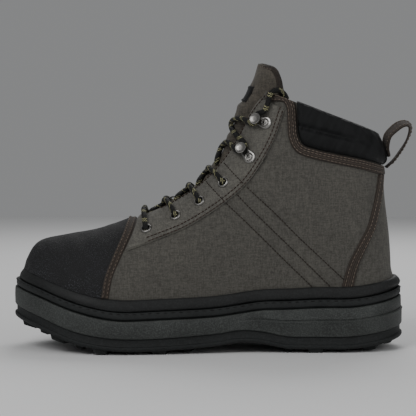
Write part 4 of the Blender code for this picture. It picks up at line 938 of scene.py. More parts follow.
def stitched(name, lines, finish, size=TAPE_STITCH):
    """Rows of stitches of a size: each line is its points and the outward directions there."""
    length, pitch, radius = size
    deselect()
    bpy.ops.mesh.primitive_uv_sphere_add(segments=6, ring_count=4, radius=1)
    piece = bpy.context.object
    model = piece.data
    shape = read(model.vertices, "co") * (radius, length / 2, radius)
    faces = [list(face.vertices) for face in model.polygons]
    points, polygons = [], []
    for line, normals in lines:
        run = run_along(line)
        count = max(1, int((run[-1] - length) / pitch))
        for spot in (run[-1] - count * pitch) / 2 + pitch * np.arange(count + 1):
            before, at, after = at_spots(spot + np.array([-0.001, 0.0, 0.001]), run, line)
            ahead = unit(after - before)
            up = at_spots(spot, run, normals)
            up = unit(up - ahead * (up @ ahead))
            base = len(points)
            points.extend(at + up * radius * STITCH_RISE + shape @ np.array([np.cross(ahead, up), ahead, up]))
            polygons.extend([[base + v for v in face] for face in faces])
    piece.data = bpy.data.meshes.new(name)
    piece.data.from_pydata([tuple(p) for p in points], [], polygons)
    piece.data.materials.append(finish)
    bpy.data.meshes.remove(model)
    piece.name = name
    return done(piece)


def wrap(u, q, hand, out=0.0):
    """Points and directions of the last; the outer side is where hand is below 0."""
    u, q, hand, out = np.broadcast_arrays(*(np.asarray(v, float) for v in (u, q, hand, out)))
    outer, outer_way = LAST.point(u, q, LATERAL, out)
    inner, inner_way = LAST.point(u, q, MEDIAL, out)
    at_outer = (hand < 0)[..., None]
    return np.where(at_outer, outer, inner), np.where(at_outer, outer_way, inner_way)


def trace(fine, to_back=False):
    """Rows and columns of a side view curve, its last point on the back of the heel if asked."""
    u, q = LAST.locate(fine)
    u = np.minimum(u, COLLAR_ROW - 0.03)
    q = np.maximum(q, throat_columns(u, STAY_SETBACK))
    if to_back:
        u[-1], q[-1] = LAST.row_at_back(fine[-1, 1]), 1.0
    return u, q


def spaced(u, q, count, skip):
    """Positions in a traced curve's list, evenly spaced over the surface from skip on."""
    run = run_along(LAST.place(u, q, LATERAL))
    return np.interp(np.linspace(skip, run[-1], count), run, np.arange(len(run)))


def down_to_rand(fine):
    """The part of a side view curve over the rand's top."""
    above = fine[:, 1] - rand_top(fine[:, 0]) - FOOT_GAP / 2
    return fine[: int(np.argmax(above < 0)) + 1] if (above < 0).any() else fine


def tape_rise(share):
    """Height of a tape's face across it, from edge (-0.5) to edge (0.5)."""
    return 1 - np.abs(share * 2) ** 8


def tape(name, fine, widths, side, finish, skip=0.0, to_back=False, long=120):
    """Sewn tape along a side view curve, from skip on."""
    spots = spaced(*trace(fine, to_back), long + 1, skip)
    width = np.interp(np.arange(len(fine)), [0, len(fine) - 1], widths)
    lines = []
    for share in np.linspace(-0.5, 0.5, 15):
        xz = shifted(fine, width * share)
        if not to_back:
            xz[-1, 1] = rand_top(xz[-1, 0]) + FOOT_GAP / 3
        u, q = picked(spots, *trace(xz, to_back))
        rise = float(tape_rise(share))
        lines.append(LAST.point(u, q, side, LIFT + (CURVED_GAP + BINDING_THICKNESS) * rise)[0])
    return facing(laid(name, np.stack(lines, 1), finish))


def seam(fine, side, out, to_back=False):
    """Points and directions of a sewn line on the surface, from its side view curve."""
    points, ways = LAST.point(*trace(fine, to_back), side, out)
    run = run_along(points)
    spots = np.linspace(0, run[-1], max(4, int(run[-1] / SEAM_STEP)))
    return [at_spots(spots, run, rows) for rows in (points, ways)]


def shifted(fine, amount):
    """A side view curve moved across itself, by one amount or one for each point."""
    return fine + beside(fine) * np.reshape(amount, (-1, 1))


def picked(places, *columns):
    """Columns of a traced curve, read at broken positions in its list."""
    return [np.interp(places, np.arange(len(column)), column) for column in columns]


def punched(piece, holes):
    """Takes out the faces that lie close to the eyelets' middles."""
    centres = read(piece.data.polygons, "center")
    near = np.zeros(len(centres), bool)
    for hole, _ in holes:
        near |= np.linalg.norm(centres - hole, axis=1) < EYELET_HOLE
    with editing(piece):
        bpy.ops.mesh.select_all(action="DESELECT")
    piece.data.polygons.foreach_set("select", near)
    bpy.ops.object.mode_set(mode="EDIT")
    bpy.ops.mesh.select_mode(type="FACE")
    bpy.ops.mesh.delete(type="FACE")
    bpy.ops.object.mode_set(mode="OBJECT")
    return piece


def surface_spot(share_x, share_z, side, out=0.0):
    """A point of the upper and its outward direction, from its shares in side view."""
    places, ways = LAST.point(*LAST.locate(side_point(share_x, share_z)), side, out)
    return places[0], ways[0]


def eyelet_spots(side, out=0.0):
    """Middle and direction of each eyelet on one side."""
    return [surface_spot(*shares, side, out) for shares in EYELETS]


def upper_rows():
    """Rows of the shell, close together at the toe's tip, the throat's end and the heel's base."""
    start = float(LAST.row_at_front(along_x(THROAT_ROWS[0][0])))
    late = float(LAST.row_at_front(along_x(THROAT_ROWS[4][0])))
    heel = 9 + (1 - (1 - np.linspace(0, 1, 26)) ** 2)
    return np.concatenate([np.linspace(0.05, start, 34)[:-1], np.linspace(start, late, 12)[:-1],
                           np.linspace(late, 9, 64)[:-1], heel[:-1], np.linspace(10, COLLAR_ROW, 66)])


def quarter(side, name):
    """One side of the shell, from the throat's edge to the welt."""
    rows = upper_rows()
    first = throat_columns(rows)[:, None]
    q = first + (1 - first) * np.linspace(0, 1, 97)
    u = rows[:, None] + 0 * q
    trough = sum(seam_trough(u, q, line) for line in QUARTER_SEAMS)
    return laid(name, LAST.point(u, q, side, -trough)[0])


def seam_trough(u, q, line):
    """Depth that a sewn line draws the cloth in by."""
    return TROUGH_DEPTH * np.exp(-((away_from(smooth_line(line, 8), u, q).min(axis=-1) / TROUGH_HALF) ** 2))


def away_from(fine, u, q):
    """Distances in side view from points of the surface to each point of a curve."""
    x, z, _ = LAST.half_width(u, q)
    return np.linalg.norm(np.stack([x, z], -1)[..., None, :] - fine[None, None], axis=-1)


def shell(look):
    """The hollow upper: two sides joined along the vamp and the heel, with its lining inside."""
    piece = sewn("upper_shell", [quarter(side, "quarter_" + label) for side, label in SIDES])
    piece.data.materials.append(look["cloth"])
    piece.data.materials.append(look["lining"])
    facing(piece)
    for side, _ in SIDES:
        punched(piece, eyelet_spots(side))
    thickened(piece, WALL, material_offset=1, material_offset_rim=0)
    return done(piece, ("upper",))


def cap_edge(behind):
    """Row of the cap's rear edge, shifted behind it, as a function of the column."""
    fine = smooth_line(CAP_EDGE)
    fine[:, 0] += behind
    u, q = LAST.locate(fine)
    u[0], q[0] = LAST.row_at_front(fine[0, 0]), 0.0
    rising = np.concatenate([[True], np.diff(np.maximum.accumulate(q)) > 1e-6])
    return lambda column: np.interp(column, q[rising], u[rising])


def lowest_column(u, clear=FOOT_GAP / 2):
    """Column at which each row reaches the rand's top."""
    columns = np.linspace(0, 1, 401)
    found = []
    for row in np.ravel(u):
        x, z, _ = LAST.half_width(row, columns)
        over = z - rand_top(x) - clear > 0
        found.append(columns[np.argmin(over)] if not over.all() else 1.0)
    return np.array(found)


def foot_column(edge):
    """Column at which the cap's edge reaches the rand."""
    column = 0.9
    for _ in range(8):
        column = float(lowest_column(edge(column))[0])
    return column


def both_ways(row):
    """A line from the front to one foot, continued from the other foot."""
    return np.concatenate([row[::-1], row[1:]])


def toe_cap(look):
    """Pebbled cap from the rand to its slanting rear edge."""
    edge = cap_edge(0.0010)
    count = 64
    share = np.linspace(0, 1, count + 1)
    end_q = share * foot_column(edge)
    end_u = edge(end_q)
    tip = np.linspace(0, 3, 301)
    x, z = LAST.values(tip)[:2]
    tip_u = tip[np.argmax(z > rand_top(x) + FOOT_GAP)]
    base_u = tip_u + (end_u[-1] - tip_u) * share**1.6
    base_q = lowest_column(base_u, 0.0)
    base_q[0], base_q[-1] = 0.0, end_q[-1]
    part = np.linspace(0, 1, 81)[:, None] ** 1.4
    u, q = (both_ways(base) * (1 - part) + both_ways(end) * part
            for base, end in ((base_u, end_u), (base_q, end_q)))
    hand = np.repeat([-1.0, 1.0], [count + 1, count])
    wave = 0.00025 * np.sin(u * 9 + 3 * q) * np.sin(q * 17)
    points = wrap(u, q, hand, CAP_GAP + CAP_THICKNESS + wave)[0]
    piece = thickened(facing(laid("toe_cap_skin", points, look["cap"])), CAP_THICKNESS)
    return done(piece, ("toe_cap",))


def cap_row(behind):
    """Rows, columns and sides along a line parallel to the cap's edge, from foot to foot."""
    edge = cap_edge(behind)
    count = 60
    q = both_ways(np.linspace(0, 1, count + 1) * foot_column(edge))
    return edge(q), q, np.repeat([-1.0, 1.0], [count + 1, count])


# Height of the toe tape's edge over the cloth, by the share of its width behind the cap's edge
TOE_TAPE = ((-0.12, CAP_GAP + CAP_THICKNESS + LIFT), (0.12, 0.0026), (0.3, 0.0014), (0.92, 0.0))


def toe_binding(look):
    """Tape over the cap's rear edge, with two rows of stitches."""
    rows = []
    front, behind = TOE_TAPE[0][0], TOE_TAPE[-1][0]
    for share in np.linspace(front, behind, 15):
        rise = float(tape_rise((share - (front + behind) / 2) / (behind - front)))
        over = np.interp(share, *zip(*TOE_TAPE))
        out = over + (0.0009 + 0.0003 * (share > 0)) * rise
        rows.append(wrap(*cap_row(TAPE_SHEET + TOE_BINDING_WIDTH * share), out)[0])
    piece = thickened(facing(laid("toe_tape", np.stack(rows, 1), look["braid"])), TAPE_SHEET)
    lines = [wrap(*cap_row(TAPE_SHEET + TOE_BINDING_WIDTH * share), out)
             for share, out in ((0.16, 0.0034), (0.70, 0.0017))]
    stitched("toe_tape_stitches", lines, look["thread"])
    return done(piece, ("toe_binding",))


def eyestay(look, side, label):
    """Stiff strip beside the throat, its edges turned in and sewn twice."""
    front = cap_edge(TOE_BINDING_WIDTH + GAP * 3)
    long = 130
    lower = LAST.locate(evenly(smooth_line(STAY_EDGE), 0.0015))
    out_u, out_q = (column[:, None] for column in picked(np.linspace(0, len(lower[0]) - 1, long + 1), *lower))
    in_u = np.linspace(front(0.02), out_u[-1, 0], long + 1)
    in_q = LAST.at_width(in_u, half_gap(in_u) + STAY_SETBACK)[:, None]
    fade = np.clip(1 - np.arange(long + 1) / 24, 0, 1)[:, None]
    s, t = np.linspace(0, 1, 37), np.linspace(0, 1, long + 1)[:, None]
    u = in_u[:, None] * (1 - s) + out_u * s
    q = in_q * (1 - s) + out_q * s
    u = u + fade * (front(q[0]) - u[0])
    rise = round_end(np.minimum(s, 1 - s) * 34 + 0.02)
    ends = round_end(np.minimum(t, 1 - t) * long / 3 + 0.02)
    points = LAST.point(u, q, side, LIFT + (STAY_GAP + STAY_THICKNESS) * rise * ends)[0]
    piece = facing(laid("eyestay_skin_" + label, points, look["stay"]))
    punched(piece, eyelet_spots(side, STAY_TOP - SEAT_GAP))
    return done(thickened(piece, STAY_THICKNESS), ("eyestay_" + label,))


def stay_seams():
    """Stitch lines of the eyestays: two near the lower edge and one along the throat."""
    out = STAY_GAP + STAY_THICKNESS + LIFT * 2
    lines = []
    lower = smooth_line(STAY_EDGE)
    for side, _ in SIDES:
        for inward in STAY_SEAMS:
            lines.append(seam(shifted(lower, -inward)[10:], side, out))
        u = np.linspace(5.9, COLLAR_ROW - 0.25, 160)
        q = LAST.at_width(u, half_gap(u) + THROAT_SEAM)
        lines.append(LAST.point(u, q, side, out))
    return lines


def quarter_seams():
    """The sewn lines over the quarters: on the eyestay where they cross it, on the cloth below it."""
    edge_u, edge_q = LAST.locate(smooth_line(STAY_EDGE))
    lines = []
    for side, _ in SIDES:
        for line in QUARTER_SEAMS:
            fine = down_to_rand(smooth_line(line))
            u, q = trace(fine)
            on_stay = q < np.interp(u, edge_u, edge_q) - 0.002
            lift = (STAY_GAP + STAY_THICKNESS + LIFT) * on_stay
            for part in (on_stay, ~on_stay):
                if part.sum() > 3:
                    lines.append(LAST.point(u[part], q[part], side, lift[part] + LIFT / 2))
    return lines


def stitches(look):
    """All the upper's stitching apart from what belongs to one tape."""
    for name, lines, thread_of, size in (
        ("eyestay_stitches", stay_seams(), "stay_thread", STAY_STITCH),
        ("quarter_stitches", quarter_seams(), "seam_thread", QUARTER_STITCH),
    ):
        stitched(name, lines, look[thread_of], (*size, look["seam_radius"]))


def heel_piping(look, side, label):
    """Tape down the heel, narrow at the collar, with two rows of stitches."""
    fine = down_to_rand(smooth_line(PIPING_LINE))
    widths = (PIPING_WIDTH * 0.42, PIPING_WIDTH)
    piece = tape("heel_tape_" + label, fine, widths, side, look["braid"], BINDING_WIDTH / 2)
    thickened(piece, TAPE_SHEET)
    width = np.interp(np.arange(len(fine)), [0, len(fine) - 1], widths)
    lines = [seam(shifted(fine, width * share)[12:], side, CURVED_GAP + BINDING_THICKNESS)
             for share in PIPING_STITCHES]
    stitched("heel_tape_stitches_" + label, lines, look["thread"])
    return done(piece, ("heel_piping_" + label,))


# The collar tape's middle line, from the throat's edge along the rim and down round the collar
COLLAR_TAPE_LINE = ((0.3490, 0.9740), (0.3370, 0.9680), *BINDING_LINE[1:])


def collar_binding(look):
    """Tape from the quarter's top corner down round the collar to the back, with three rows of stitches."""
    fine = smooth_line(COLLAR_TAPE_LINE)
    widths = (BINDING_WIDTH, BINDING_WIDTH)
    sides = [tape("collar_tape_" + label, fine, widths, side, look["braid"], to_back=True, long=150)
             for side, label in SIDES]
    piece = thickened(facing(sewn("collar_tape", sides)), TAPE_SHEET)
    lines = [seam(shifted(fine, BINDING_WIDTH * share), side, CURVED_GAP + BINDING_THICKNESS, to_back=True)
             for side, _ in SIDES for share in COLLAR_STITCHES]
    stitched("collar_tape_stitches", lines, look["thread"])
    return done(piece, ("collar_binding",))


# Section of the collar pad: height as a share from its lower edge to the rim, then rows above the rim
PAD_OUTSIDE = ((0.0, 0.12), (0.04, 0.50), (0.12, 0.84), (0.30, 1.0), (0.45, 1.0), (0.65, 0.97), (0.82, 0.90),
               (0.94, 0.76), (1.0, 0.62))
PAD_INSIDE = ((1.0, 0.42), (0.90, 0.56), (0.75, 0.56), (0.60, 0.44), (0.48, 0.22), (0.42, 0.04))

# The pad's sewn channel in side view, in shares, and how far it draws the pad in
PAD_CHANNEL = ((0.2930, 0.8420), (0.2776, 0.8344), (0.1940, 0.7986), (0.1396, 0.7700), (0.0900, 0.7480))
PAD_CHANNEL_DEPTH, PAD_CHANNEL_HALF = 0.0024, 0.0022
PAD_MIDDLE = (0.105, 0.0, 0.20)  # a point that all the pad lies round


def pad_section():
    """Height, distance out and way over the rim along the pad's section, from its lower edge."""
    inside = -(WALL + CURVED_GAP)
    knots = [(h, CURVED_GAP + PAD_THICKNESS * o, 0.0) for h, o in PAD_OUTSIDE]
    knots += [(1.0, CURVED_GAP + PAD_THICKNESS * 0.22, 0.9), (1.0, inside * 0.5, 1.0),
              (1.0, inside - PAD_THICKNESS * 0.15, 0.8)]
    knots += [(h, inside - PAD_THICKNESS * o, 0.0) for h, o in PAD_INSIDE]
    height, out, over = smooth_rows(knots, 6).T
    return np.clip(height, 0, 1), out, over


def collar_pad(look):
    """Padded roll over the collar's rim, with a sewn channel along its outer side that fades to the back."""
    fine = shifted(smooth_line(BINDING_LINE), -(BINDING_WIDTH / 2 + GAP))
    traced = trace(fine, True)
    long = 110
    spots = spaced(*traced, long + 1, PAD_START)
    low_u, low_q, low_x = (column[:, None] for column in picked(spots, *traced, fine[:, 0]))
    tx, _, bx, _ = LAST.values(COLLAR_ROW)[:4]
    front_x = float(low_x[0, 0])
    front_q = LAST.column(COLLAR_ROW, (front_x - tx) / (bx - tx))
    rim_q = front_q + (1 - front_q) * (low_q - low_q[0]) / (1 - low_q[0])
    height, out, over = pad_section()
    run = np.linspace(0, 1, long + 1)[:, None]
    end = round_end(run / 0.022 + 0.02)
    near = np.where(out > 0, CURVED_GAP, -(WALL + CURVED_GAP))
    outer = (out > 0) & (over < 0.05)
    full = near + (out - near) * end + 0.00035 * np.sin(run * 61) * np.sin(height * 7) * end * outer
    row = low_u + (COLLAR_ROW - low_u) * height + PAD_RIM_RISE / PAD_ROW_RISE * np.clip(over, 0, 1)
    q = low_q + (rim_q - low_q) * height
    channel = smooth_line(PAD_CHANNEL, 10)
    away = away_from(channel, row, q)
    depth = PAD_CHANNEL_DEPTH * (1 - soft_step(0.45, 1.0, np.linspace(0, 1, len(channel))))
    drawn = np.exp(-((away.min(axis=-1) / PAD_CHANNEL_HALF) ** 2)) * depth[np.argmin(away, axis=-1)]
    full = full - drawn * end * outer
    piece = sewn("collar_padding", [laid("pad_" + label, LAST.point(row, q, side, full)[0], look["knit"])
                                    for side, label in SIDES])
    thickened(facing(piece, lambda centres: centres - PAD_MIDDLE), PAD_SHEET)
    shown = slice(6, int(len(channel) * 0.7))
    lines = [LAST.point(*LAST.locate(channel[shown]), side, CURVED_GAP + PAD_THICKNESS - depth[shown])
             for side, _ in SIDES]
    stitched("collar_channel_stitches", lines, look["dark_thread"], CHANNEL_STITCH)
    return done(piece, ("collar_pad",))


def lace_stops():
    """Row and half width of each lace stop, from the lowest eyelets to the upper hooks."""
    stops = []
    for shares in [*EYELETS, *[row[2:] for row in HOOKS]]:
        u, q = LAST.locate(side_point(*shares))
        stops.append((float(u[0]), float(LAST.half_width(u, q)[2][0])))
    return stops


STOPS = lace_stops()


def puff(u, share):
    """How far the tongue's padding swells between the crossings of the lace."""
    swell = np.zeros(np.shape(u))
    for (low, _), (high, _) in zip(STOPS, STOPS[1:]):
        swell = np.maximum(swell, np.exp(-(((u - low - 0.98 * (high - low)) / (0.30 * (high - low))) ** 2)))
    high = 0.0012 + 0.0016 * soft_step(8.5, 10.5, u)
    return high * swell * np.clip(1 - share, 0, 1) ** 0.5


def tongue_skin(u, share, hand, depth):
    """Points of the dressed tongue's face; the outer side is where hand is below 0."""
    u, share, hand, depth = np.broadcast_arrays(*(np.asarray(v, float) for v in (u, share, hand, depth)))
    deep = (depth - puff(u, share)).ravel()
    sides = [tongue_face(u.ravel(), share.ravel(), side, deep) for side in (LATERAL, MEDIAL)]
    return np.where((hand.ravel() < 0)[:, None], *sides).reshape(*u.shape, 3)


TONGUE_AHEAD = 0.035


def tongue_table(long):
    """Rows of the tongue with their thickness and narrowing."""
    first = float(LAST.row_at_front(along_x(THROAT_ROWS[0][0] + TONGUE_AHEAD)))
    top = 15.3 + 0.7 * np.sin(np.linspace(0, math.pi / 2, 25))
    u = np.concatenate([np.linspace(first, 15.3, long - 24)[:-1], top])
    thick = np.interp(u, [first, first + 1, 15.6, 16.0], [0.5, 1.0, 1.0, 0.55]) * TONGUE_THICKNESS
    narrow = np.interp(u, [first, first + 1.0, 15.0, 15.6, 15.85, 16.0], [0.75, 1.0, 1.0, 0.80, 0.62, 0.40])
    return u, thick, narrow


def hand_of(spread):
    """The side that a place across the tongue lies on."""
    return np.where(spread < 0, -1.0, 1.0)


def tongue(look):
    """Padded tongue: a front and a back face that meet in a rounded edge, with a tape round its top."""
    u, thick, narrow = tongue_table(118)
    a = np.sin(np.linspace(-math.pi / 2, math.pi / 2, 41))
    reach = 2.0 * narrow[:, None] * np.abs(a)
    rounding = 1 - np.sqrt(np.clip(1 - np.abs(a) ** 8, 0, 1))
    quilt = 0.0004 * np.sin(u * 5.2)[:, None] * np.clip(1 - np.abs(a), 0, 1)
    depths = (thick[:, None] * 0.5 * rounding - quilt, thick[:, None] * (1 - 0.5 * rounding))
    faces = [laid("tongue_" + face, tongue_skin(u[:, None], reach, hand_of(a), depth), look[finish])
             for face, finish, depth in zip(("front", "back"), ("tongue", "lining"), depths)]
    piece = filled(sewn("tongue_padding", faces))
    done(piece, ("tongue",))
    edge_u = np.linspace(14.9, 15.93, 40)
    reach = 1.94 * np.interp(edge_u, u, narrow)
    deep = np.interp(edge_u, u, thick) * 0.5
    over = np.linspace(-1, 1, 31)[1:-1]
    route = [tongue_skin(edge_u, reach, -1.0, deep),
             tongue_skin(15.94, reach[-1] * np.abs(over), hand_of(over), deep[-1]),
             tongue_skin(edge_u[::-1], reach[::-1], 1.0, deep[::-1])]
    route = evenly(np.concatenate(route), 0.0014)
    done(swept("tongue_tape", route, ring_section(*TONGUE_TAPE, 16), look["braid_round"]))
    spread = np.linspace(-1, 1, 41)
    line = tongue_skin(15.90, 2.0 * 0.52 * np.abs(spread), hand_of(spread), -0.0001)
    way = np.tile(np.array([-0.93, 0.0, 0.36]), (41, 1))
    stitched("tongue_stitches", [[line, way]], look["thread"])
    return piece


def tongue_patch(look):
    """Plain dark patch with a raised rim, sewn to the front of the tongue's top."""
    u = np.linspace(*PATCH_ROWS, 31)[:, None]
    a = np.linspace(-PATCH_HALF, PATCH_HALF, 41)[None]
    down = np.linspace(0, 1, 31)[:, None]
    near = np.minimum(np.minimum(down, 1 - down) * 15, (PATCH_HALF - np.abs(a)) * 14)
    rise = CURVED_GAP * 0.4 + 0.0010 * round_end(near + 0.05)
    rise = rise - 0.0004 * soft_step(1.2, 2.0, near)
    piece = laid("tongue_label", tongue_skin(u, np.abs(a), hand_of(a), -rise), look["patch"])
    thickened(facing(piece, lambda centres: centres * 0 + np.array([-0.9, 0.0, 0.3])), PATCH_SHEET)
    return done(piece, ("tongue_patch",))


# Slope of the loop's width against its middle line, over its first third and from three quarters on
LOOP_LEAN = (-0.34, -0.06)


def pull_loop(look):
    """Loop of woven webbing sewn to the back of the collar."""
    def seat(share_z, cover):
        z = float(side_point(0.0, share_z)[1])
        return float(LAST.back(z)) + CURVED_GAP + cover + FOOT_GAP + LOOP_THICKNESS / 2, z

    foot, top, end = LOOP_SEATS
    knots = [seat(foot, PAD_THICKNESS), seat(top, PAD_THICKNESS), *side_point(*zip(*LOOP_LINE)),
             seat(end, BINDING_THICKNESS)]
    line = evenly(smooth_rows(knots, 8), 0.0011)
    normal = beside(line)
    turn = np.linspace(0, 2 * math.pi, 29)
    across = squared(np.cos(turn), 0.35) * LOOP_WIDTH / 2
    thick = squared(np.sin(turn), 0.35) * LOOP_THICKNESS / 2
    moved = line[:, None] + normal[:, None] * thick[None, :, None]
    points = np.stack([moved[..., 0], centre(moved[..., 0]) + across[None], moved[..., 1]], -1)
    run = np.linspace(0, 1, len(line))
    lean = np.interp(run, (0.35, 0.75), LOOP_LEAN) * np.sin(math.pi * run) ** 0.6
    points[..., [0, 2]] += normal[:, None] * (across[None] * lean[:, None])[..., None]
    piece = closed_loft("webbing", points, look["webbing"])
    lines = []
    for share in LOOP_STITCHES:
        y = centre(line[:, 0]) + LOOP_WIDTH * share
        face = line - normal * (LOOP_THICKNESS / 2 - LOOP_WIDTH * share * lean[:, None])
        way = -np.stack([normal[:, 0], 0 * y, normal[:, 1]], -1)
        lines.append([np.stack([face[:, 0], y, face[:, 1]], -1)[4:-4], way[4:-4]])
    stitched("webbing_stitches", lines, look["thread"])
    return done(piece, ("pull_loop",))


def outline(drawn_in, level, lift=0.0, squeeze=1.0):
    """A closed outline of the sole, drawn in by a number or a function of x, at a lift over a level of it."""
    inset = drawn_in if callable(drawn_in) else lambda x: drawn_in + 0 * np.asarray(x, float)
    turn = np.linspace(0, 2 * math.pi, OUTLINE_COLUMNS + 1)
    toe, heel = TOE_X + float(inset(TOE_X)), HEEL_X - float(inset(HEEL_X))
    x = (toe + heel) / 2 - (heel - toe) / 2 * np.cos(turn)
    half = np.nan_to_num(half_outline(x, inset(x))) * squeeze
    half[[0, OUTLINE_COLUMNS // 2, -1]] = 0.0
    side = np.where(np.arange(OUTLINE_COLUMNS + 1) <= OUTLINE_COLUMNS // 2, -1.0, 1.0)
    return np.stack([x, centre(x) + side * half, level(x) + lift], -1)


def sole_skin(name, rings, finish):
    """A closed layer of the sole through outlines, its top and bottom filled towards the middle line."""
    shares = (0.0, 0.35, 0.7, 0.9)
    loops = [outline(*rings[0], squeeze=k) for k in shares] + [outline(*ring) for ring in rings]
    loops += [outline(*rings[-1], squeeze=k) for k in reversed(shares)]
    return sewn(name, [laid(name, np.array(loops), finish)])


def outsole(look):
    """Tread with a rolled lip, a recessed band above it, and lugs."""
    band = 0.0017
    rings = (
        (0.0030, lip_z), (0.0012, lip_z, 0.0002), (0.0004, lip_z, 0.0007), (0.0, lip_z, 0.0016),
        (0.0, lip_top, -0.0010), (0.0003, lip_top, -0.0004), (0.0008, lip_top, -0.0001),
        (band - 0.0002, lip_top), (band, lip_top, 0.0003), (band, band_top, -0.0008), (band, band_top, -GAP),
    )
    piece = sole_skin("tread_base", rings, look["tread"])
    done(lugs(look))
    return done(piece, ("outsole",))


def lugs(look):
    """Tapered blocks in rows of three, their edges rounded."""
    deselect()
    bpy.ops.mesh.primitive_cube_add(size=2)
    model = bpy.context.object
    with editing(model):
        bpy.ops.mesh.subdivide(number_cuts=5)
    unit_x, unit_y, unit_z = read(model.data.vertices, "co").T
    foot = (1 - unit_z) / 2
    blocks = []
    for along, to_edge in LUG_ROWS:
        x = float(along_x(along))
        inset = 0.0014 if to_edge else 0.0085
        length = LUG_LENGTH * (1.3 if to_edge else 0.85)
        reach = float(half_outline(np.array([x - length * 0.7, x, x + length * 0.7]), 0.0).min()) - inset
        for start, end, skew in LUG_COLUMNS:
            take(model)
            bpy.ops.object.duplicate()
            block = bpy.context.object
            wide = reach * (end - start) / 2
            px = x + unit_x * (length / 2 - LUG_TAPER * foot) + skew * unit_y * wide
            py = float(centre(x)) + reach * (start + end) / 2 + unit_y * (wide - LUG_TAPER * foot)
            root = lip_z(px) + 0.0015
            tip = np.maximum(0.0, lip_z(px) - LUG_DEPTH)
            block.data.vertices.foreach_set("co", np.stack([px, py, root + (tip - root) * foot], -1).ravel())
            block.data.update()
            blocks.append(block)
    take(model)
    bpy.ops.object.delete()
    piece = take(*blocks)
    bpy.ops.object.join()
    piece.name = piece.data.name = "tread_lugs"
    piece.data.materials.append(look["tread"])
    return modified(piece, "BEVEL", width=LUG_ROUND, segments=2, limit_method="ANGLE",
                    angle_limit=math.radians(50))


def midsole(look):
    """Foam wall with soft edges and a fine rib line round the heel."""
    def mid(x):
        return band_top(x) + 0.56 * (wall_top(x) - band_top(x))

    def heel(x):
        return np.clip((np.asarray(x, float) - along_x(0.44)) / (SOLE_LENGTH * 0.08), 0, 1)

    def at_heel(amount, step):
        return lambda x: amount + step * heel(x)

    rings = [(0.0012, band_top), (0.0005, band_top, 0.0003), (0.0001, band_top, 0.0010), (0.0, mid, -0.0018)]
    rings += [(at_heel(0.0, step), mid, lift) for lift, step in RIB]
    rings += [(at_heel(amount, 0.0007), wall_top, lift)
              for amount, lift in ((0.0002, -0.0018), (0.0005, -0.0009), (0.0010, -0.0004), (0.0018, -GAP))]
    return done(sole_skin("foam_wall", rings, look["foam"]), ("midsole",))


def welt(look):
    """Ridge between two grooves, with short dashes of thread on its upper edge."""
    groove, ridge = 0.0030, 0.0013
    rings = (
        (groove, wall_top), (groove - 0.0004, wall_top, 0.0006), (ridge + 0.0008, wall_top, 0.0011),
        (ridge + 0.0002, wall_top, 0.0014), (ridge, wall_top, 0.0019), (ridge, welt_top, -0.0012),
        (ridge + 0.0003, welt_top, -0.0006), (ridge + 0.0010, welt_top, -0.0002), (groove, welt_top, -GAP),
    )
    piece = sole_skin("welt_ridge", rings, look["welt"])
    line = outline(ridge + 0.0001, welt_top, -0.0014)[:-1]
    way = outline(0.0, wall_top)[:-1] - outline(0.003, wall_top)[:-1]
    way[:, 2] = np.linalg.norm(way[:, :2], axis=1) * 0.8 + 1e-5
    stitched("welt_stitches", [[line, way]], look["welt_thread"], WELT_STITCH)
    return done(piece, ("welt",))


def insole(look):
    """Cushioned footbed."""
    inset, top = UPPER_INSET + WALL + 0.0020, INSOLE_THICKNESS
    rings = ((inset + 0.0010, welt_top, GAP), (inset, welt_top, 0.0012), (inset, welt_top, top - 0.0012),
             (inset + 0.0005, welt_top, top - 0.0003), (inset + 0.0015, welt_top, top))
    return done(sole_skin("footbed", rings, look["lining"]), ("insole",))


def skirt(height, out, count):
    """Points round the upper at a share of the rand's height, from the heel's back to the toe."""
    def level(x):
        return welt_top(x) + FOOT_GAP + (RAND_HEIGHT - FOOT_GAP) * height

    def reach(x, back):
        for _ in range(30):
            z = level(x)
            table = LAST.table[: 2 * LAST.STEPS]
            x = float(LAST.back(z)) if back else float(np.interp(z, table[:, 1], table[:, 0]))
        return x

    heel, toe = reach(HEEL_X - UPPER_INSET, True), reach(TOE_X + UPPER_INSET, False)
    turn = np.linspace(0, math.pi, count + 1)
    x = (heel + toe) / 2 + (heel - toe) / 2 * np.cos(turn)
    loops = []
    for side in (LATERAL, MEDIAL):
        u, q = LAST.locate(np.stack([x, level(x)], -1))
        base = LAST.place(u, q, side)
        for end in (0, -1):
            base[end] = x[end], centre(x[end]), level(x[end])
        ahead = np.roll(base, -1, axis=0) - np.roll(base, 1, axis=0)
        ahead[0], ahead[-1] = (0, side, 0), (0, -side, 0)
        moved = base + unit(np.stack([ahead[:, 1], -ahead[:, 0], np.zeros(len(x))], -1) * side) * out
        moved[:, 2] = level(moved[:, 0])
        loops.append(moved)
    ring = np.concatenate([loops[0], loops[1][-2:0:-1]])
    return smooth_rows(np.concatenate([ring[-2:], ring, ring[:3]]), 6)[12:-12]


# Section of the rand: share of its height, distance out from the upper in metres
RAND_OUTLINE = (
    (-0.09, 0.0004), (-0.09, 0.0046), (-0.05, 0.0051), (0.10, 0.0053), (0.35, 0.0050), (0.65, 0.0040),
    (0.86, 0.0030), (0.96, 0.0024), (1.0, 0.0016), (1.0, 0.0002), (0.9, -0.0004), (0.5, 0.0), (0.1, 0.0002),
)


def rand(look):
    """Rubber strip round the foot of the upper, its top edge rolled in to the cloth."""
    loops = np.array([skirt(h, out, 28) for h, out in (*RAND_OUTLINE, RAND_OUTLINE[0])])
    return done(sewn("rand_strip", [laid("rand_strip", loops, look["rand"])]), ("rand",))


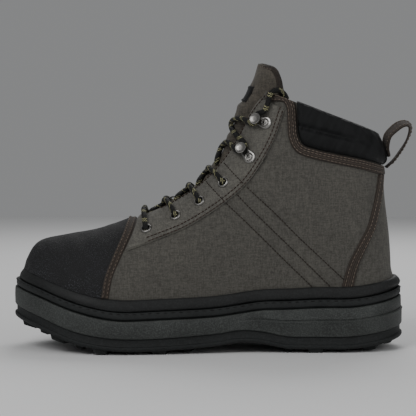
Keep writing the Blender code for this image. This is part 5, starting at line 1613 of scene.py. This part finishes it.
def turned(name, profile, sides, place, axis, finish):
    """A profile of (radius, height) turned about an axis."""
    axis = unit(axis)
    one = unit(np.cross(axis, (0.0, 0.0, 1.0)))
    two = np.cross(axis, one)
    turn = np.linspace(0, 2 * math.pi, sides + 1)[None, :, None]
    radius, height = np.array(profile).T[:, :, None, None]
    points = place + radius * (np.cos(turn) * one + np.sin(turn) * two) + height * axis
    return sewn(name, [laid(name, points, finish)])


def eyelets(look, side, label):
    """Rolled rings of plated metal."""
    bore, flange, metal = EYELET_BORE, EYELET_FLANGE, EYELET_METAL
    middle, wide = (bore + flange) / 2, (flange - bore) / 2
    roll = [(middle + wide * math.cos(a), STAY_TOP - SEAT_GAP + 0.0014 * max(math.sin(a), -0.12))
            for a in np.linspace(-0.15, math.pi, 13)]
    profile = [*roll, (bore, STAY_TOP - 0.0012), (bore, -WALL - metal), (bore + metal, -WALL - metal),
               (bore + metal, STAY_TOP - 0.0014), roll[0]]
    for k, (place, axis) in enumerate(eyelet_spots(side)):
        ring = turned("eyelet_ring_%s_%d" % (label, k + 1), profile, 40, place, axis, look["metal"])
        done(ring, ("eyelet_%s_%d" % (label, k + 1),))


# A hook's strip: place along in heads, height in metres and half width in heads. The plate lies ahead of the
# rivet, the neck and the tip ahead of the head's middle, and the tip is measured from the head's underside
HOOK_PLATE = ((-1.00, 0.0002, 0.06), (-0.90, 0.0004, 0.50), (-0.60, 0.0006, 0.84), (-0.10, 0.0008, 0.98),
              (0.40, 0.0008, 0.88))
HOOK_NECK = ((-0.20, 0.0008, 0.62), (0.34, 0.0009, 0.44), (0.66, 0.0020, 0.38), (0.74, 0.0038, 0.38))
HOOK_TIP = ((0.66, -0.0012, 0.44), (0.40, -0.0007, 0.60), (0.05, -0.0006, 0.70), (-0.30, -0.0006, 0.30))
HOOK_PLATE_HALF = 0.00065
# Turned profiles: radius and height of the rivet in metres, radius of the head's disc as a share of its own
RIVET_RING = ((0.0001, 0.0010), (0.0009, 0.0009), (0.0015, 0.0005), (0.0018, 0.0001), (0.0021, 0.0004),
              (0.0025, 0.0010), (0.0030, 0.0011), (0.0034, 0.0007), (0.0036, 0.0))
HOOK_DISC = ((0.0, -0.0004), (0.94, -0.0004), (1.0, 0.0001), (0.98, 0.0007), (0.88, 0.0010), (0.76, 0.0008),
             (0.60, 0.0005), (0.30, 0.0004), (0.0, 0.0004))


def hook_frame(row, side):
    """Rivet, directions out, ahead and aside, and the distance to the head, of one hook."""
    (rivet, axis), (head, _) = (surface_spot(*shares, side) for shares in (row[:2], row[2:]))
    ahead = (head - rivet) - axis * ((head - rivet) @ axis)
    reach = float(np.linalg.norm(ahead))
    ahead = ahead / reach
    return rivet, axis, ahead, np.cross(axis, ahead), reach


def hook(look, name, row, side):
    """Speed hook: a teardrop plate with a ringed rivet, a neck that turns up, and a round dished head."""
    rivet, axis, ahead, aside, reach = hook_frame(row, side)
    head, metal = HOOK_HEAD, HOOK_METAL
    seat = STAY_TOP - SEAT_GAP + LIFT
    top = STAY_TOP + metal + HOOK_THROAT + metal * 0.6
    knots = [(run * head, seat + up, wide * head) for run, up, wide in HOOK_PLATE]
    knots += [(reach + run * head, seat + up, wide * head) for run, up, wide in HOOK_NECK]
    knots += [(reach + run * head, top + up, wide * head) for run, up, wide in HOOK_TIP]
    line = smooth_rows(knots, 5)
    run = line[:, :2]
    turn = np.linspace(0, 2 * math.pi, 25)
    wide = np.maximum(line[:, 2], 0.0001)[:, None] * np.cos(turn)[None]
    thick = HOOK_PLATE_HALF * squared(np.sin(turn), 0.7)
    spot = run[:, None] - beside(run)[:, None] * thick[None, :, None]
    points = rivet + ahead * spot[..., :1] + axis * spot[..., 1:] + aside * wide[..., None]
    piece = closed_loft(name + "_strip", points, look["metal"])
    base = rivet + axis * (seat + 0.0010)
    done(turned(name + "_rivet", RIVET_RING, 36, base, axis, look["metal"]))
    disc = [(max(0.94 * head * share, 0.0001), up) for share, up in HOOK_DISC]
    place = rivet + ahead * (reach - 0.02 * head) + axis * top
    done(turned(name + "_head", disc, 40, place, axis + ahead * 0.10, look["metal"]))
    return done(piece, (name,))


def lace_keeper(look):
    """Dark moulded arch on the tongue's middle."""
    u = float(LAST.row_at_front(along_x(KEEPER_AT)))
    after, middle, before = (tongue_face(u + k, 0.0, LATERAL)[0] for k in (0.02, 0.0, -0.02))
    ahead = unit(after - before)
    up = np.array([-ahead[2], 0, ahead[0]])
    turn = np.linspace(-0.14, math.pi + 0.14, 41)[:, None]
    long, rise = KEEPER_LENGTH / 2 - KEEPER_METAL / 2, KEEPER_RISE - KEEPER_METAL / 2
    route = middle + up * CURVED_GAP - ahead * np.cos(turn) * long + up * np.sin(turn) * rise
    way = unit(-ahead * np.cos(turn) * rise + up * np.sin(turn) * long)
    around = np.linspace(0, 2 * math.pi, 21)
    wide = squared(np.cos(around), 0.5) * KEEPER_WIDTH / 2
    thick = squared(np.sin(around), 0.7) * KEEPER_METAL / 2
    across = np.array([0.0, 1.0, 0.0])
    loft = route[:, None] + way[:, None] * thick[None, :, None] + across * wide[None, :, None]
    return done(closed_loft("keeper_arch", loft, look["glossy"]), ("lace_keeper",))


OVER_STAY = STAY_TOP + LACE + GAP * 3
OVER_TONGUE = LACE + GAP / 2


def over_upper(u, half, side, out):
    """A point half wide from the front line at row u, out from the upper's face."""
    q = LAST.at_width(np.array([u]), np.array([half]))
    return LAST.point(np.array([u]), q, side, np.array([out]))[0][0]


def on_tongue(u, share, side, out):
    return tongue_face(u, share, side, -out)[0]


HOOK_BEND = (0.0022, 0.0042)  # of the lace, on past the neck and off to its side


def round_hook(index, side):
    """Points of the lace round a hook's neck, from below it to above."""
    rivet, axis, ahead, aside, reach = hook_frame(HOOKS[index], side)
    aside = aside if aside[2] > 0 else -aside
    spot = rivet + ahead * (reach + 0.02 * HOOK_HEAD) + axis * (STAY_TOP + HOOK_METAL + LACE)
    on, off = HOOK_BEND
    return [spot + ahead * on - aside * off, spot - ahead * 0.0006, spot + ahead * on + aside * off]


def strand(k, side):
    """Points of the strand from one stop, on a side, over the tongue to the next stop on the other side."""
    (u_0, _), (u_1, half_1) = STOPS[k], STOPS[k + 1]
    gap = float(half_gap(u_1))
    near = 1 - (LACE + CURVED_GAP * 5) / float(half_gap(u_0 + 0.15 * (u_1 - u_0)))

    def row(share):
        return u_0 + share * (u_1 - u_0)

    if k < len(EYELETS):
        start = [on_tongue(row(0.02), near * 1.10, side, LACE * 0.2),
                 on_tongue(row(0.15), near, side, OVER_TONGUE + 0.0002)]
    else:
        start = [*round_hook(k - len(EYELETS), side)[1:],
                 over_upper(row(0.18), float(half_gap(row(0.18))) + 0.0006, side, OVER_STAY + 0.0004)]
    middle = [on_tongue(row(0.30), near * 0.6, side, OVER_TONGUE),
              on_tongue(row(0.46), 0.0, side, OVER_TONGUE),
              on_tongue(row(0.62), 0.50, -side, OVER_TONGUE + 0.0006),
              over_upper(row(0.78), gap + 0.0010, -side, OVER_STAY + 0.0008)]
    if k + 1 < len(EYELETS):
        end = [over_upper(row(0.93), gap + (half_1 - gap) * 0.62, -side, OVER_STAY + 0.0006),
               over_upper(row(0.995), half_1 - 0.0004, -side, STAY_TOP + 0.0008),
               *(over_upper(row(1.0), half_1, -side, -WALL * k) for k in (0.6, 1.6))]
    else:
        end = round_hook(k + 1 - len(EYELETS), -side)[:2]
    return smooth_rows([*start, *middle, *end], 7)


def lace(name, route, look):
    return swept(name, evenly(route, LACE_STEP), ring_section(LACE, LACE, 14), look["cord"])


def laces(look):
    """The bar at the toe end and the five crossings, run through the eyelets and round the hooks."""
    u, half = STOPS[0]
    gap = float(half_gap(u))
    ends = [[over_upper(u, half, side, -WALL * 1.6), over_upper(u, half, side, -WALL * 0.6),
             over_upper(u, half - 0.0004, side, STAY_TOP + 0.0008),
             over_upper(u, half - (half - gap) * 0.45, side, OVER_STAY + 0.0004),
             over_upper(u, gap, side, OVER_STAY + GAP * 2)] for side in (LATERAL, MEDIAL)]
    bar = [*ends[0], on_tongue(u, 0.0, LATERAL, OVER_TONGUE + 0.0008), *reversed(ends[1])]
    done(lace("lace_first", smooth_rows(bar, 7), look), ("lace_bar",))
    for k in range(len(STOPS) - 1):
        over = lace("lace_over_%d" % (k + 1), strand(k, LATERAL), look)
        done(over, ("lace_crossing_%d" % (k + 1),))
        done(lace("lace_under_%d" % (k + 1), strand(k, MEDIAL), look))


# Each free end over the quarter's corner and in behind it: X, distance from the middle plane and Z, in metres
TUCK = (
    (0.0505, 0.0318, 0.2094), (0.0550, 0.0300, 0.2088), (0.0585, 0.0290, 0.2055), (0.0600, 0.0285, 0.2020),
)


def lace_end(look, side, label):
    """A free end of the lace from the upper hook over the quarter's corner, tucked in beside the tongue."""
    knots = [*round_hook(1, side)[1:]]
    knots += [surface_spot(*shares, side, OVER_STAY)[0] for shares in LACE_END_LINE]
    knots += [np.array([x, centre(x) + side * y, z]) for x, y, z in TUCK]
    route = evenly(smooth_rows(knots, 7), LACE_STEP)
    for _ in range(10):
        route[1:-1] = (route[:-2] + 2 * route[1:-1] + route[2:]) / 4
    piece = lace("lace_tail_" + label, route, look)
    return done(piece, ("lace_end_" + label,))


LIT_SPOT = (0.0, 0.0, 0.09)
LIGHTS = (  # name, place, size and power
    ("key", (-0.7, -1.1, 1.1), 0.9, 11.0),
    ("fill", (1.0, -0.9, 0.6), 1.2, 5.0),
    ("rim", (0.2, 1.0, 1.1), 1.0, 8.0),
)
CAMERA_PLACE = (-0.003, -1.3, 0.175)
CAMERA_DIP = 2.7
PHOTO_PIXELS, FOCAL_PIXELS = 416, 1587
SENSOR = 36.0


def light(name, place, size, power):
    """A soft square light that faces the boot."""
    deselect()
    bpy.ops.object.light_add(type="AREA", location=place)
    lamp = bpy.context.object
    lamp.name = name
    lamp.data.size, lamp.data.energy = size, power
    lamp.rotation_euler = (Vector(LIT_SPOT) - Vector(place)).to_track_quat("-Z", "Y").to_euler()


def stage():
    """Pale floor, soft lights and the camera of the photograph."""
    deselect()
    bpy.ops.mesh.primitive_plane_add(size=4.0, location=(0.0, 0.0, 0.0))
    floor = bpy.context.object
    floor.name = "studio_floor"
    floor.data.materials.append(Finish("floor", 0.85, **{"Base Color": (0.80, 0.80, 0.80, 1.0)}).material)
    for row in LIGHTS:
        light(*row)
    scene = bpy.context.scene
    scene.world = scene.world or bpy.data.worlds.new("studio")
    scene.world.use_nodes = True
    back = scene.world.node_tree.nodes["Background"]
    back.inputs["Color"].default_value = (0.80, 0.81, 0.82, 1.0)
    back.inputs["Strength"].default_value = 0.30
    bpy.ops.object.camera_add(location=CAMERA_PLACE, rotation=(math.radians(90 - CAMERA_DIP), 0.0, 0.0))
    camera = bpy.context.object
    camera.name = "photo_camera"
    camera.data.sensor_width = SENSOR
    camera.data.lens = FOCAL_PIXELS / PHOTO_PIXELS * SENSOR
    camera.data.dof.use_dof = False
    scene.camera = camera


def looks(sizes, colours):
    """The finishes, from the panel's sizes and colours."""
    yarn = (tone(colours.cloth_dark), tone(colours.cloth_light))
    paler = [tuple(c * 1.35 for c in each) for each in yarn]
    weave = sizes.yarn_spacing
    tape = (colours.tape_dark, colours.tape_light)
    return {
        "cloth": canvas("cloth", *yarn, weave),
        "stay": canvas("stay_cloth", *paler, weave, 0.80),
        "lining": knit("lining", "17181a", "26282a"),
        "tongue": canvas("tongue_cloth", "3c3934", "5d574e", weave, 0.88),
        "cap": pebbled("cap", colours.cap_dark, colours.cap_highlight),
        "braid": braid("braid", *tape),
        "braid_round": braid("round_braid", *tape, 0.0013, 0.4),
        "webbing": braid("webbing", "1e1916", "3f362f", 0.0014, 0.0),
        "knit": knit("neoprene", "08090a", "161718"),
        "patch": moulded("patch", "0f0f10", "1b1b1d", 0.50, 1500.0, 0.00005),
        "glossy": moulded("keeper", "0a0a0b", "161617", 0.22, 600.0, 0.00003),
        "tread": moulded("tread", "171919", "2c2e2e", 0.66, 900.0, 0.00012, 0.2),
        "foam": moulded("foam", colours.foam_dark, colours.foam_light, 0.62, 1100.0, 0.00012, 0.3),
        "welt": moulded("welt", "1d1f1f", "2f3131", 0.60),
        "rand": moulded("rand", "191a1a", "2c2d2d", 0.60, 800.0, 0.00012, 0.1),
        "metal": metal("metal", colours.metal, 0.28),
        "cord": cord("lace", "090909", "1f1f1e", colours.fleck, sizes.fleck_spacing),
        "thread": thread("thread", "4a4038", "85786c"),
        "stay_thread": thread("stay_thread", "1c100c", "3c271e"),
        "seam_thread": thread("seam_thread", "120d0b", "33251d"),
        "dark_thread": thread("dark_thread", "0c0c0c", "1c1b1a"),
        "welt_thread": thread("welt_thread", "050505", "121212"),
        "seam_radius": sizes.seam_radius,
    }


def size_setting(name, description, default):
    return bpy.props.FloatProperty(name=name, description=description, default=default, min=0.0, precision=5,
                                   unit="LENGTH")


def colour_setting(name, description, default):
    return bpy.props.FloatVectorProperty(name=name, description=description, default=tone(default), size=3,
                                         min=0.0, max=1.0, subtype="COLOR")


class BootSizes(bpy.types.PropertyGroup):
    """Sizes of the boot's finish."""

    yarn_spacing: size_setting("Yarn spacing", "Distance between two yarns of the cloth", 0.0009)
    seam_radius: size_setting("Seam thread", "Radius of the thread in the upper's seams", 0.00045)
    fleck_spacing: size_setting("Fleck spacing", "Distance between two groups of flecks on the lace", 0.0118)


class BootColours(bpy.types.PropertyGroup):
    """Colours of the boot's finish."""

    cloth_dark: colour_setting("Cloth, dark yarn", "Dark yarn of the upper's cloth", "403e3a")
    cloth_light: colour_setting("Cloth, light yarn", "Light yarn of the upper's cloth", "5c5a54")
    cap_dark: colour_setting("Toe cap", "Toe cap between its pebbles", "1c1c1d")
    # Colour of the painted highlight on the toe cap's pebble tops and glints
    cap_highlight: colour_setting("Toe cap, rubbed", "Toe cap where it is rubbed", "5c5e64")
    tape_dark: colour_setting("Tape, dark", "Tapes between their ribs", "12100e")
    tape_light: colour_setting("Tape, light", "Tapes on their ribs", "483f38")
    foam_dark: colour_setting("Sole wall, dark", "Sole wall in its hollows", "2d2f2e")
    foam_light: colour_setting("Sole wall, light", "Sole wall where dust lies", "4c4f4d")
    metal: colour_setting("Metal", "Hooks and eyelets", "93918e")
    fleck: colour_setting("Lace fleck", "Pale flecks of the lace", "a8a57e")


LOOKS = {}


class BOOT_OT_finishes(bpy.types.Operator):
    """Make the boot's materials"""

    bl_idname = "boot.finishes"
    bl_label = "Finishes"

    def execute(self, context):
        LOOKS.update(looks(context.scene.boot_sizes, context.scene.boot_colours))
        return {"FINISHED"}


class BOOT_OT_sole(bpy.types.Operator):
    """Make the tread, wall, welt, footbed and rand"""

    bl_idname = "boot.sole"
    bl_label = "Sole"

    def execute(self, context):
        for make in (outsole, midsole, welt, insole, rand):
            make(LOOKS)
        return {"FINISHED"}


class BOOT_OT_upper(bpy.types.Operator):
    """Make the shell, the toe cap, the eyestays and the sewn lines"""

    bl_idname = "boot.upper"
    bl_label = "Upper"

    def execute(self, context):
        for make in (shell, toe_cap, toe_binding, stitches):
            make(LOOKS)
        for side, label in SIDES:
            eyestay(LOOKS, side, label)
        return {"FINISHED"}


class BOOT_OT_collar(bpy.types.Operator):
    """Make the tapes, the padded collar, the tongue and the pull loop"""

    bl_idname = "boot.collar"
    bl_label = "Collar and tongue"

    def execute(self, context):
        for side, label in SIDES:
            heel_piping(LOOKS, side, label)
        for make in (collar_binding, collar_pad, tongue, tongue_patch, pull_loop):
            make(LOOKS)
        return {"FINISHED"}


class BOOT_OT_lacing(bpy.types.Operator):
    """Make the eyelets, hooks, keeper and lace"""

    bl_idname = "boot.lacing"
    bl_label = "Lacing"

    def execute(self, context):
        for side, label in SIDES:
            eyelets(LOOKS, side, label)
            for level, row in zip(("lower", "upper"), HOOKS):
                hook(LOOKS, "hook_%s_%s" % (label, level), row, side)
            lace_end(LOOKS, side, label)
        lace_keeper(LOOKS)
        laces(LOOKS)
        return {"FINISHED"}


class BOOT_OT_stage(bpy.types.Operator):
    """Set the floor, the lights and the camera"""

    bl_idname = "boot.stage"
    bl_label = "Stage"

    def execute(self, context):
        stage()
        return {"FINISHED"}


STEPS = (BOOT_OT_finishes, BOOT_OT_sole, BOOT_OT_upper, BOOT_OT_collar, BOOT_OT_lacing, BOOT_OT_stage)


class BOOT_PT_panel(bpy.types.Panel):
    """The boot's sizes and pieces"""

    bl_label = "Wading Boot"
    bl_idname = "BOOT_PT_panel"
    bl_space_type = "VIEW_3D"
    bl_region_type = "UI"
    bl_category = "Boot"

    def draw(self, context):
        for group in (context.scene.boot_sizes, context.scene.boot_colours):
            for label in group.__annotations__:
                self.layout.prop(group, label)
        for step in STEPS:
            self.layout.operator(step.bl_idname)


KINDS = (BootSizes, BootColours, *STEPS, BOOT_PT_panel)


def register():
    for kind in KINDS:
        bpy.utils.register_class(kind)
    bpy.types.Scene.boot_sizes = bpy.props.PointerProperty(type=BootSizes)
    bpy.types.Scene.boot_colours = bpy.props.PointerProperty(type=BootColours)


def unregister():
    del bpy.types.Scene.boot_colours, bpy.types.Scene.boot_sizes
    for kind in reversed(KINDS):
        bpy.utils.unregister_class(kind)


def main():
    register()
    for step in STEPS:
        group, name = step.bl_idname.split(".")
        getattr(getattr(bpy.ops, group), name)()


if __name__ == "__main__":
    main()
